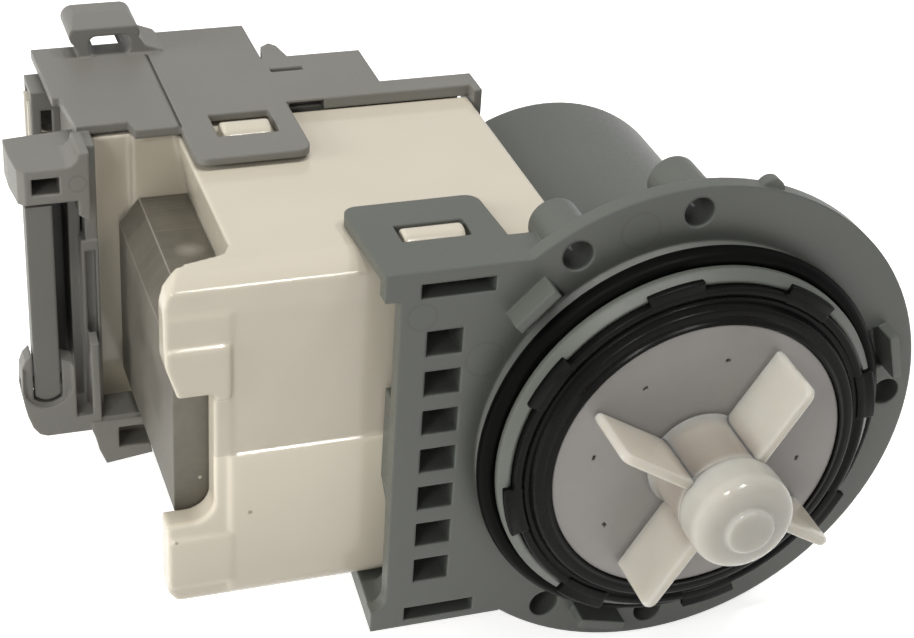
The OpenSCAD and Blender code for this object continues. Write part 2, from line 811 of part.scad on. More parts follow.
// Rotor shaft
module rotor_shaft() {
  color(steel_grey)
    turned([[0, dog_y0 - 0.4], [shaft_r - 0.4, dog_y0 - 0.4], [shaft_r, dog_y0],
      [shaft_r, can_end + pocket_len - 1], [shaft_r - 0.4, can_end + pocket_len - 0.6],
      [0, can_end + pocket_len - 0.6]]);
}

// Plastic sleeve that carries the magnet on the shaft
module rotor_sleeve() {
  end_t = 1.2;
  color(cream)
    difference() {
      union() {
        rod(magnet_bore_r - fixed_fit / 4, magnet_front - end_t / 2, magnet_end + end_t / 2);
        rod(magnet_r - 1, magnet_front - end_t, magnet_front - fixed_fit / 4);
        rod(magnet_r - 1, magnet_end + fixed_fit / 4, magnet_end + end_t);
      }
      rod(shaft_r + fixed_fit / 4, 0, cup_end, small_fn);
    }
}

// Ring magnet of the rotor
module rotor_magnet() {
  color([0.16, 0.16, 0.17])
    tube(magnet_r, magnet_bore_r, magnet_front, magnet_end);
}

// A sintered bearing bush
module bush(y0) {
  color(brass)
    tube(bush_r, shaft_r + run_fit, y0, y0 + bush_len);
}

// Front bearing bush
module bearing_front() {
  bush(bush_front_y);
}

// Rear bearing bush
module bearing_rear() {
  bush(bush_rear_y);
}

// Rubber ring that holds the front bush in the can's mouth
module bearing_mount_front() {
  color(black)
    difference() {
      union() {
        rod(mount_r, -1.6, bush_front_y + bush_len);
        rod(mount_r + 2, -partition_t - 1.4, -partition_t - fixed_fit);
        rod(mount_r, -partition_t - fixed_fit - eps, -1.6 + eps);
      }
      rod(bush_r + fixed_fit / 2, bush_front_y - fixed_fit, bush_front_y + bush_len + 1);
      rod(shaft_r + 1, -partition_t - 2, cup_end, small_fn);
    }
}

// Rubber ring that holds the rear bush in the can's pocket
module bearing_mount_rear() {
  color(black)
    tube(pocket_r - fixed_fit, bush_r + fixed_fit / 2, bush_rear_y, bush_rear_y + bush_len);
}

// A thrust washer on the shaft
module thrust_washer(y0) {
  color(nylon)
    tube(bush_r - 0.6, shaft_r + fixed_fit / 2, y0, y0 + washer_t, small_fn);
}

// Thrust washer behind the front bush
module thrust_washer_front() {
  thrust_washer(bush_front_y + bush_len + free_fit);
}

// Thrust washer before the rear bush
module thrust_washer_rear() {
  thrust_washer(bush_rear_y - free_fit - washer_t);
}

// Dovetail between yoke and leg, as a flat shape; grow widens it for clearance
module tail(z, grow) {
  far = yoke_right + dovetail + grow;
  half = neck + grow;
  wide = neck + 0.8 + grow;
  polygon([[1 - yoke_right, z - half], [1 - yoke_right, z + half], [-yoke_right, z + half],
    [-far, z + wide], [-far, z - wide], [-yoke_right, z - half]]);
}

// Yoke of the laminated core, with its outer corners cut off
module stator_yoke() {
  color(steel_grey)
    slab(stack_front, stack_rear)
      difference() {
        polygon([[-yoke_right, yoke_top], [-yoke_right, -yoke_bottom],
          [-steel_left + yoke_chamfer, -yoke_bottom], [-steel_left, -yoke_bottom + yoke_chamfer],
          [-steel_left, yoke_top - yoke_slope_h], [-steel_left + yoke_slope, yoke_top]]);
        for (z = [leg_top[1] - yoke_w / 2, leg_low[0] + yoke_w / 2])
          tail(z, fixed_fit);
      }
}

// One leg of the core with the shoe that wraps half the can
module pole(leg, up) {
  gap_x = pole_r + eps;
  color(steel_grey)
    slab(stack_front, stack_rear) {
      difference() {
        union() {
          difference() {
            circle(r = pole_r, $fn = round_fn);
            // the half on the other side of the pump axis
            translate([-big / 2, up ? -big : 0])
              square([big, big]);
            // the part that would stand in the block's right wall
            translate([-big - block_right + fixed_fit, -big / 2])
              square([big, big]);
          }
          translate([-yoke_right + fixed_fit, leg[0]])
            square([yoke_right - fixed_fit - block_right, yoke_w]);
          // the end of the leg, which stays inside the cup
          intersection() {
            translate([-block_right - 1, leg[0]])
              square([block_right - 9, yoke_w]);
            circle(r = cup_inner_r - fixed_fit, $fn = round_fn);
          }
        }
        circle(r = can_outer_r + fixed_fit, $fn = round_fn);
        // gaps between the two shoes
        for (a = [0, 180])
          rotate(a)
            polygon([[0, 0], [gap_x, -gap_x * tan(pole_gap_angle)],
              [gap_x, gap_x * tan(pole_gap_angle)]]);
      }
      tail((leg[0] + leg[1]) / 2, 0);
    }
}

// Upper leg and shoe
module pole_upper() {
  pole(leg_top, true);
}

// Lower leg and shoe
module pole_lower() {
  pole(leg_low, false);
}

// Bobbin round a leg: a square tube with a flange at each end
module bobbin(leg) {
  in0 = fixed_fit;
  out = bobbin_wall + fixed_fit;
  reach = out + coil_t - 0.3;
  color(cream)
    difference() {
      union() {
        box(-bobbin_left, -bobbin_right, stack_front - out, stack_rear + out,
          leg[0] - out, leg[1] + out);
        for (x = [-bobbin_left, -bobbin_right - bobbin_wall])
          box(x, x + bobbin_wall, stack_front - out - 0.6, stack_rear + out + 0.2,
            leg[0] - reach, leg[1] + reach);
      }
      box(-bobbin_left - 1, -bobbin_right + 1, stack_front - in0, stack_rear + in0,
        leg[0] - in0, leg[1] + in0);
    }
}

// Upper bobbin
module bobbin_upper() {
  bobbin(leg_top);
}

// Lower bobbin
module bobbin_lower() {
  bobbin(leg_low);
}

// Winding on a bobbin, with rounded corners
module coil(leg) {
  in0 = bobbin_wall + 2 * fixed_fit;
  out = in0 + coil_t - 0.9;
  side = 0.6;
  x0 = -bobbin_left + bobbin_wall + fixed_fit;
  x1 = -bobbin_right - bobbin_wall - fixed_fit;
  color(copper)
    difference() {
      box(x0, x1, stack_front - in0 - side, stack_rear + in0 + side, leg[0] - out, leg[1] + out);
      box(x0 - 1, x1 + 1, stack_front - in0, stack_rear + in0, leg[0] - in0, leg[1] + in0);
    }
}

// Upper winding
module coil_upper() {
  coil(leg_top);
}

// Lower winding
module coil_lower() {
  coil(leg_low);
}

// Thermal fuse in its clip on the bracket's rear wall
module thermal_fuse() {
  color([0.85, 0.85, 0.83])
    behind_block() translate([fuse_x, fuse_y, fuse_z - fuse_len / 2]) {
      cylinder(r = fuse_r, h = fuse_len, $fn = small_fn);
      translate([0, 0, -3])
        cylinder(r = 0.5, h = fuse_len + 6, $fn = small_fn);
    }
}

// A catch that stands on the block: a bar with a rounded top, along X
module catch_bar(at, z, h) {
  r = (at[3] - at[2]) / 2;
  mid = (at[2] + at[3]) / 2;
  intersection() {
    translate([at[0], mid, z + h - r * 0.9])
      rotate([0, 90, 0])
        cylinder(r = r, h = at[1] - at[0], $fn = small_fn);
    box(at[0], at[1], at[2], at[3], z - 0.2, z + h + 1);
  }
  box(at[0], at[1], at[2] + 0.4, at[3] - 0.4, z - 0.2, z + h - 0.9);
}

// The block's body, with the slope along its upper front edge
module block_body() {
  front_wall_y = stack_front - fixed_fit;
  rear_wall_y = stack_rear + fixed_fit;
  over_yoke = yoke_top + fixed_fit;
  ridge_z = block_top - top_drop;
  step_right = 35;
  difference() {
    union() {
      // main body over the coils
      box(-notch_x, -block_right, block_front, block_rear, -block_bottom, block_top);
      // end walls in front of and behind the yoke
      box(-block_left, -notch_x + eps, block_front, front_wall_y, -block_bottom, block_top);
      box(-block_left_rear, -notch_x + eps, rear_wall_y, block_rear, -block_bottom, block_top);
      // wall over the yoke, which leans out, and the gusset in its front corner
      slab(front_wall_y - eps, rear_wall_y + eps)
        polygon([[-notch_x + 1, over_yoke], [-notch_x, over_yoke], [-notch_top_x, block_top],
          [-notch_x + 1, block_top]]);
      layer(over_yoke, block_top)
        polygon([[-steel_left, front_wall_y - 1], [-steel_left, front_wall_y],
          [-66.3, front_wall_y + 1.9], [-65.2, front_wall_y + 2.4], [-notch_top_x, front_wall_y + 4.4],
          [-notch_x + 1, front_wall_y + 4.6], [-notch_x + 1, front_wall_y - 1]]);
      // raised pads on the front
      slab(block_front - pad_h, block_front + eps) {
        round_rect(-block_left, -65.8, 9.6, 18.5, 0.8);
        round_rect(-block_left, -65.6, -23, -14.4, 0.8);
      }
      // the lower half of the front stands proud
      box(-65.9, -step_right, block_front - step_h, block_front + eps, -block_bottom, -0.5);
      // the column at its left end stands a little proud
      box(-block_left, -65.8, block_front - 0.25, block_front + eps, -block_bottom, block_top);
    }
    // slope, ridge and leaning band
    translate([-block_left - 1, 0, 0])
      rotate([90, 0, 90])
        linear_extrude(height = block_left)
          polygon([[block_front - 2, ridge_z - band_h], [block_front, ridge_z - band_h],
            [block_front + band_lean, ridge_z],
            [block_front + 0.4 * top_slope, block_top - 0.55 * top_drop],
            [block_front + 0.72 * top_slope, block_top - 0.2 * top_drop],
            [block_front + 1.15 * top_slope, block_top],
            [block_front + 1.15 * top_slope, block_top + 1], [block_front - 2, block_top + 1]]);
  }
}

// Cream block moulded over the coils
module stator_overmould() {
  front_wall_y = stack_front - fixed_fit;
  rear_wall_y = stack_rear + fixed_fit;
  far = block_left_rear + 2;
  cavity_y0 = stack_front - bobbin_wall - 1.2;
  cavity_y1 = stack_rear + bobbin_wall + 0.9;
  ridge_z = block_top - top_drop;
  over_leg = bobbin_wall + coil_t + 2 * fixed_fit;
  color(cream)
    difference() {
      union() {
        // catches for the tabs of the vent plate and of the bracket
        catch_bar(front_catch, block_top, catch_h);
        box(front_catch[0], front_catch[1], front_catch[2] + 0.4, front_catch[3] - 0.4, ridge_z - 1,
          block_top + eps);
        behind_block()
          catch_bar(rear_catch, block_top, catch_h);
        mirror([0, 0, 1]) {
          catch_bar(front_catch, block_bottom, catch_h_low);
          behind_block()
            catch_bar(rear_catch, block_bottom, catch_h);
        }
        block_body();
      }
      // space for the bobbins
      box(-cavity_left, -cavity_right, cavity_y0, cavity_y1, -yoke_bottom - over_leg,
        yoke_top + over_leg);
      // passages of the two legs
      for (leg = [leg_top, leg_low])
        box(-notch_x - 1, -block_right + 1, stack_front - fixed_fit, stack_rear + fixed_fit,
          leg[0] - fixed_fit, leg[1] + fixed_fit);
      // shallow recess along the left edge of the rear end wall
      box(-far, -71, rear_wall_y - 1, rear_wall_y + 0.7, -block_bottom + 6, block_top + 1);
      // slots for the ends of the terminals
      for (i = [0, 1])
        terminal_slot(i, block_rear - 1.7, block_rear + 1);
      // window in front of the yoke, open to the left
      slab(block_front - 2, front_wall_y + 1)
        difference() {
          translate([-far, -window_low])
            square([far - window_x, window_top + window_low]);
          translate([-window_x - window_r, -window_low])
            difference() {
              square([window_r, window_r]);
              translate([0, window_r])
                circle(r = window_r, $fn = small_fn);
            }
        }
      // corners of the left end walls
      slab(block_front - 2, front_wall_y + 1) {
        polygon([[-far, block_top - 4.8], [-block_left, block_top - 4.8],
          [-block_left + 0.6, block_top - 2.5], [-block_left + 2.1, block_top - 0.5],
          [-block_left + 3.2, block_top + eps], [-far, block_top + 1]]);
        polygon([[-far, -block_bottom - 1], [-block_left + 3, -block_bottom - 1],
          [-block_left, -block_bottom + 3.4], [-far, -block_bottom + 3.4]]);
        polygon([[-far, window_top + 5.3], [-block_left, window_top + 5.3],
          [-block_left + 2, window_top - 1], [-far, window_top - 1]]);
      }
      // rounding along the lower front edge
      round_x(-far, -block_right + 1, block_front - 1, -block_bottom, block_round_low, 1, -1);
    }
}

// Tab of the bracket that clips over the block
module bracket_tab(z) {
  difference() {
    layer(z - tab_t, z)
      difference() {
        round_rect(-strip_left, -strip_right, strip_front, strip_rear, 2.2);
        translate([-strip_left - 1, rear_wall + 1])
          square([strip_left, strip_rear]);
      }
    tab_window(rear_catch, 1, 0.35, 2);
  }
}

// Grey bracket behind the block: plates, terminal chamber, latch seat and clips
module rear_bracket() {
  chamber_rear = side_rear - 2;
  low_tab_z = -block_bottom - (strip_top - tab_t - block_top);
  rail_x = strip_right + eps;
  column_front = -7.4;
  color(bracket_grey)
    behind_block() difference() {
      union() {
        // tabs over and under the block, and the raised strip behind the upper one
        bracket_tab(strip_top);
        bracket_tab(low_tab_z);
        box(-strip_left, -strip_right, rear_wall, strip_rear, strip_top - bracket_t, strip_top);
        box(-strip_left, -strip_right, rear_wall, rear_wall + 6, low_tab_z - 2.6, low_tab_z);
        // side plate to the left, with its front lip
        layer(strip_top - side_t, strip_top)
          polygon([[-side_left, side_rear], [-81.2, 8.2], [-80.1, 8], [-79.2, -2.4],
            [-71.3, -2.2], [-70.8, -5.3], [-strip_left + eps, -5.3], [-strip_left + eps, side_rear]]);
        // middle plate, nub and rail
        box(-rail_x, -29.4, rear_wall - 2, mid_rear, strip_top - bracket_t, strip_top);
        box(-rail_x, -block_right + 1.2, rear_wall - 2, rail_rear, strip_top - bracket_t, strip_top);
        layer(strip_top - bracket_t, strip_top)
          polygon([[-45.9, mid_rear - 1], [-41.4, mid_rear - 1], [-42.4, 20.4], [-43.4, 21.6],
            [-45, 20.4]]);
        // end of the rail turned down beside the block
        box(-block_right + free_fit, -block_right + 1.6, -2.4, rail_rear, 24, strip_top);
        // wall behind the block, deeper behind its middle
        box(-chamber_left, -block_right - 1, rear_wall, rear_wall + rear_wall_t, -chamber_bottom,
          strip_top - 0.4);
        box(-strip_left - 2, -block_right - 1, rear_wall, rear_wall + rear_wall_t, low_tab_z - tab_t, 0);
        // terminal chamber
        box(-chamber_left, -strip_right + 0.4, rear_wall + 1, chamber_rear, -chamber_bottom,
          strip_top - 1);
        // shelf and lower clip, left of the block
        box(-chamber_left - 0.4, -block_left_rear - free_fit, -9.6, rear_wall + 1, shelf_z, shelf_z + 2);
        box(-chamber_left - 0.4, -71.4, -10.6, -end_wall_t - 1, shelf_z, shelf_z + 2);
        lower_clip();
        // post and channel on the left
        box(-79.2, -block_left_rear - free_fit, column_front + 0.4, rear_wall + 1, 14,
          strip_top - 1);
        box(-80, -block_left_rear - free_fit, column_front, rear_wall + 1, shelf_z, 14.4);
        box(-81.4, -79.6, -4.6, rear_wall + 3, -chamber_bottom, 24);
        // left block over the latch bar
        left_block();
        latch_seat();
        // loop on the side plate
        hook_loop(strip_top);
      }
      // inside of the terminal chamber, open to the back
      difference() {
        box(-chamber_left + wall, -strip_right - 1.4, rear_wall + rear_wall_t, chamber_rear + 1,
          -chamber_bottom + wall, strip_top - bracket_t - 1);
        // ribs that hold the thermal fuse
        for (side = [-1, 1])
          translate([fuse_x + side * (fuse_r + fixed_fit + 0.5) - 0.5, rear_wall, fuse_z - 4])
            cube([1, rear_wall_t + fuse_r + 1, 8]);
      }
      // groove beside the raised strip
      box(-strip_left - 0.3, -strip_left + 0.2, -5.6, 21.4, strip_top - 0.5, strip_top + 1);
      // slot in the middle plate and window in the rail's front
      box(-45.6, -40.2, 10.6, 12, strip_top - bracket_t - 1, strip_top + 1);
      box(-45.4, -39.7, -1.6, rear_wall + 0.9, strip_top - bracket_t - 0.2, strip_top - 0.4);
      // opening for the connector in the chamber's left wall
      box(-chamber_left - 3, -conn_right + free_fit, conn_front - free_fit, conn_rear + free_fit,
        -conn_bottom - free_fit, conn_top + free_fit);
      // passages of the two terminals through the wall
      for (i = [0, 1])
        terminal_slot(i, rear_wall - 1, rear_wall + rear_wall_t + 1);
      // channel groove
      box(-79.4, -77.8, column_front - 0.6, column_front + 1.4, shelf_z + 2, 12.6);
    }
}

// Hooked pocket under the shelf
module lower_clip() {
  y0 = -11.1;
  y1 = -5.6;
  floor_z = shelf_z - 3.9;
  difference() {
    slab(y0, y1)
      polygon([[-79.9, shelf_z + 1.5], [-79.9, shelf_z], [-79.3, -20.4], [-78.9, floor_z],
        [-77.8, -25.2], [-70.3, -24.2], [-70.6, floor_z], [-71.4, shelf_z], [-71.4, shelf_z + 1.5]]);
    box(-75.7, -70, y0 - 1, y1 - 0.8, floor_z, shelf_z);
  }
}

// Hollow block on the bracket's left, over the bar
module left_block() {
  top = 28.8;
  low = 23.1;
  front = bar_front - 0.2;
  difference() {
    layer(low, top)
      polygon([[-88.4, front], [-79.2, front], [-78.7, front + 0.6], [-78.7, 2.4], [-90, 1],
        [-90, -3.6], [-89.4, front + 1]]);
    // window in its front
    box(-87.4, -83.2, front - 1, front + 10, low + 1.5, top - 1.4);
  }
  // post in line with its front, curved into its top
  slab(front, -3)
    polygon([[-82.8, top - 0.2], [-81.4, top + 0.2], [-80.6, top + 1], [-80.2, top + 2.2],
      [-78.7, top + 2.2], [-78.7, 19.4], [-80.5, 20.6], [-80.5, top - 0.2]]);
}

// Seat with a U-shaped rim that holds the foot of the bar
module latch_seat() {
  front = bar_front - 0.7;
  side_rear_y = -6.6;
  seat_rear = 0.4;
  plate_z = -15.6;
  cheek_t = 1.3;
  cheek_top = -2.4;
  arm_top = -5.8;
  recess_r = 3.8;
  swing_r = norm([foot_r, bar_t / 2]) + free_fit;
  difference() {
    union() {
      // left cheek with its curved lower corner
      slab(front, side_rear_y)
        polygon([[-88, -3.4], [-88.8, -3.6], [-89.8, -4.6], [-90.4, -6.2], [-90.6, -10],
          [-90.3, -12.4], [-89.9, -14.4], [-89.2, -16.6], [-88.2, -18], [-87, shelf_z],
          [-79.4, shelf_z], [-79.4, plate_z], [-82.2, plate_z], [-82.2, arm_top]]);
      box(-84, -79.2, front + 0.6, seat_rear + 2, shelf_z, plate_z + 0.1);
      box(-83, -79.6, rear_wall, rear_wall + 3, shelf_z, 24);
      // cheek to the right of the seat, with its sloping top
      translate([-79.6, 0, 0])
        rotate([90, 0, 90])
          linear_extrude(height = cheek_t)
            polygon([[front, shelf_z], [front, cheek_top], [-3.8, cheek_top + 1.6],
              [-3.8, shelf_z]]);
      // pocket behind the bar, closed to the left and to the back
      box(-87.2, -86.4, side_rear_y, rear_wall + 1, -12, 24);
      box(-87.2, -79.6, rear_wall, rear_wall + 1.5, -12, 24);
    }
    // shallow recess round the foot of the bar
    slab(front - 1, front + 0.8) {
      translate([-bar_mid, -pivot_drop])
        circle(r = recess_r, $fn = small_fn);
      translate([-bar_mid - recess_r, -pivot_drop])
        square([2 * recess_r, 20]);
    }
    // room for the bar and its foot
    slab(front - 1, pivot_y + swing_r)
      intersection() {
        union() {
          translate([-bar_mid, -pivot_drop])
            circle(r = swing_r, $fn = small_fn);
          translate([-bar_left - free_fit, -pivot_drop])
            square([bar_w + 2 * free_fit, 20]);
        }
        translate([-bar_left - free_fit, -big / 2])
          square([bar_w + 2 * free_fit, big]);
      }
    // holes of the pivot pins
    translate([-bar_left - pivot_len - 3, pivot_y, -pivot_drop])
      rotate([0, 90, 0])
        cylinder(r = pivot_r + run_fit, h = bar_w + 2 * pivot_len + 3 + free_fit, $fn = small_fn);
  }
}

// Loop for a cable tie on the side plate
module hook_loop(z) {
  y0 = 21.9;
  y1 = 30.4;
  end_r = 1.9;
  end_z = z + 3.7;
  difference() {
    slab(y0, y1) {
      polygon([[-74.7, z - 1], [-74.7, z + 1], [-76, z + 3.2], [-73.8, end_z + end_r],
        [-66.6, end_z + end_r],
        [-64.9, z + 3], [-63.8, z + 1.3], [-61, z + 0.2], [-60, z - 1]]);
      for (x = [-74.2, -66.6])
        translate([x, end_z])
          circle(r = end_r, $fn = small_fn);
    }
    slab(y0 - 1, y1 + 1)
      round_rect(-73, -66.2, z, z + 3.5, 1.3);
    box(-side_left, -strip_left, side_rear, y1 + 1, z - 2, z);
    // sloping roof towards the front
    translate([-side_left, y0, z + 5])
      rotate([7, 0, 0])
        cube([side_left - strip_left + 5.8, 12, 6]);
  }
}

// Bar that swings on two pins in its seat
module latch_bar() {
  color(bracket_grey) behind_block() {
    slab(bar_front, bar_front + bar_t)
      intersection() {
        union() {
          translate([-bar_mid, -pivot_drop])
            circle(r = foot_r, $fn = small_fn);
          translate([-bar_left, -pivot_drop])
            square([bar_w, pivot_drop + bar_top]);
        }
        translate([-bar_left, -big / 2])
          square([bar_w, big]);
      }
    translate([-bar_left - pivot_len, pivot_y, -pivot_drop])
      rotate([0, 90, 0])
        cylinder(r = pivot_r, h = bar_w + 2 * pivot_len, $fn = small_fn);
  }
}

// Grey shroud of the connector, open to the left
module connector_housing() {
  color(bracket_grey)
    behind_block() difference() {
      box(-conn_left, -conn_right, conn_front, conn_rear, -conn_bottom, conn_top);
      box(-conn_left - 1, -conn_right - shroud_wall, conn_front + shroud_wall,
        conn_rear - shroud_wall, -conn_bottom + shroud_wall, conn_top - shroud_wall);
      // window for the plug's catch
      box(-conn_left + 1.5, -conn_left + 3.3, conn_front - 1, conn_front + shroud_wall + 1,
        conn_top - 7.6, conn_top - 3.3);
      for (i = [0, 1])
        blade_slot(i);
    }
}

// Pale insert that holds the two blades
module connector_insert() {
  gap = shroud_wall + fixed_fit;
  color(cream)
    behind_block() difference() {
      box(-conn_left - 0.4, -conn_right - gap, conn_front + gap, conn_rear - gap,
        -conn_bottom + gap, conn_top - gap);
      box(-conn_left - 2, -conn_left + 1, conn_front, conn_rear, conn_top - gap - 1.2, conn_top);
      box(-conn_left - 2, -conn_right - 4.6, conn_front + gap + 1, conn_rear - gap - 1,
        -conn_bottom + gap + 1, conn_top - gap - 1);
      // free space behind the shroud's window
      box(-82.8, -79.4, conn_front, conn_rear - gap - 0.8, 20.6, 26.5);
      for (i = [0, 1])
        blade_slot(i);
    }
}

// Height of a terminal's middle, counted from the top
function blade_z(i) = terminal_z - i * terminal_step;

// Slot for a blade through the right ends of shroud and insert
module blade_slot(i) {
  half = terminal_t / 2 + fixed_fit;
  tall = terminal_w / 2 + fixed_fit;
  box(-conn_right - 6, -conn_right + 1, conn_y - half, conn_y + half, blade_z(i) - tall,
    blade_z(i) + tall);
}

// Slot for the end of a terminal that points to the block
module terminal_slot(i, y0, y1) {
  tall = terminal_w / 2 + fixed_fit;
  box(terminal_x - terminal_t - fixed_fit, terminal_x + fixed_fit, y0, y1, blade_z(i) - tall,
    blade_z(i) + tall);
}

// A flat blade whose other end goes through the wall into the block
module terminal(i) {
  z0 = blade_z(i) - terminal_w / 2;
  z1 = blade_z(i) + terminal_w / 2;
  color(brass) behind_block() {
    box(-conn_left + 1.2, terminal_x, conn_y - terminal_t / 2, conn_y + terminal_t / 2, z0, z1);
    box(terminal_x - terminal_t, terminal_x, -1.5, conn_y + terminal_t / 2, z0, z1);
  }
}

// Upper terminal
module terminal_upper() {
  terminal(0);
}

// Lower terminal
module terminal_lower() {
  terminal(1);
}

flange_housing();
rear_cap();
o_ring();
retaining_ring();
cover_disc();
impeller();
impeller_cap();
cushion_upper();
cushion_lower();
drive_dog();
rotor_shaft();
rotor_sleeve();
rotor_magnet();
bearing_front();
bearing_rear();
bearing_mount_front();
bearing_mount_rear();
thrust_washer_front();
thrust_washer_rear();
stator_yoke();
pole_upper();
pole_lower();
bobbin_upper();
bobbin_lower();
coil_upper();
coil_lower();
thermal_fuse();
stator_overmould();
rear_bracket();
latch_bar();
connector_housing();
connector_insert();
terminal_upper();
terminal_lower();
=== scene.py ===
# %% [markdown]
# # A washer drain pump, dressed for the camera
# The pump is already built as solid parts. This lesson gives every part its finish, remakes the
# pieces whose shape is softer or finer than the solids say, and sets up the light and the camera.

# %% Load the solid parts
import bpy, bmesh, json, math
from mathutils import Euler, Matrix, Vector

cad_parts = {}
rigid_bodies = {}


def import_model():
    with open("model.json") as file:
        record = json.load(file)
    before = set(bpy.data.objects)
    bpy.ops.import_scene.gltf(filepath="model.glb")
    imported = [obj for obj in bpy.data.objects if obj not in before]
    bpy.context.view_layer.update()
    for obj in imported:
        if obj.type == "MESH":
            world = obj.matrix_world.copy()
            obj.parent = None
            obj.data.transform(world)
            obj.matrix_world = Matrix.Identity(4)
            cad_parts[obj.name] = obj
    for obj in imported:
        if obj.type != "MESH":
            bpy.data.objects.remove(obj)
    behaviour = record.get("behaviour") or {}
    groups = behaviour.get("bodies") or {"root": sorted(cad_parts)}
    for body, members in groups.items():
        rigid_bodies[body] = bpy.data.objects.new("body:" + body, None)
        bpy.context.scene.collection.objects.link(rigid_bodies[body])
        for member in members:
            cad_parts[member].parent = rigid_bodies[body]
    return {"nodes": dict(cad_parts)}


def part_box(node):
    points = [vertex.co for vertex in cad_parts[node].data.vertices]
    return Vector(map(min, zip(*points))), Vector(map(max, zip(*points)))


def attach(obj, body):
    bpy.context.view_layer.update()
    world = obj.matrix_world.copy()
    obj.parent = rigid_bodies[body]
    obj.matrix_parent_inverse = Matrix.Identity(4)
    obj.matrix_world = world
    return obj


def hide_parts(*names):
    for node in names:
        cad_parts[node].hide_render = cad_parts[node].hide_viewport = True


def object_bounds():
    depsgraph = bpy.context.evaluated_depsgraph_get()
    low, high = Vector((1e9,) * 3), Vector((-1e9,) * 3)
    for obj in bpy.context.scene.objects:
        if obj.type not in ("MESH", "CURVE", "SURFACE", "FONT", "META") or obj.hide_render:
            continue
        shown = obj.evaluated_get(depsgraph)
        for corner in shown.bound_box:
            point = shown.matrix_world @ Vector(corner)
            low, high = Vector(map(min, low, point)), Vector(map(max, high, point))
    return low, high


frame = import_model()
cad_low, cad_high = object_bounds()
nodes = frame["nodes"]
MM = 0.001
print(len(nodes), "solid parts, size in mm:", [round(v / MM, 1) for v in cad_high - cad_low])

# %% [markdown]
# ## Shader maths written as Python
# A finish is a web of small nodes. Adding them one by one is hard to read, so one small class
# wraps an output socket, and plus, minus, times or less-than on it adds the matching node. Each
# has its mirrored form too, which Python calls when the number stands first, as in 1 - mask.

# %% A socket that can be added, multiplied and compared
class Value:
    def __init__(self, finish, socket):
        self.finish, self.socket = finish, socket

    def _math(self, operation, a, b):
        return self.finish.node("Math", {0: a, 1: b}, operation=operation)

    def __add__(self, other): return self._math("ADD", self, other)
    def __radd__(self, other): return self._math("ADD", other, self)
    def __sub__(self, other): return self._math("SUBTRACT", self, other)
    def __rsub__(self, other): return self._math("SUBTRACT", other, self)
    def __mul__(self, other): return self._math("MULTIPLY", self, other)
    def __rmul__(self, other): return self._math("MULTIPLY", other, self)
    def __lt__(self, other): return self._math("LESS_THAN", self, other)
    def __gt__(self, other): return self._math("GREATER_THAN", self, other)
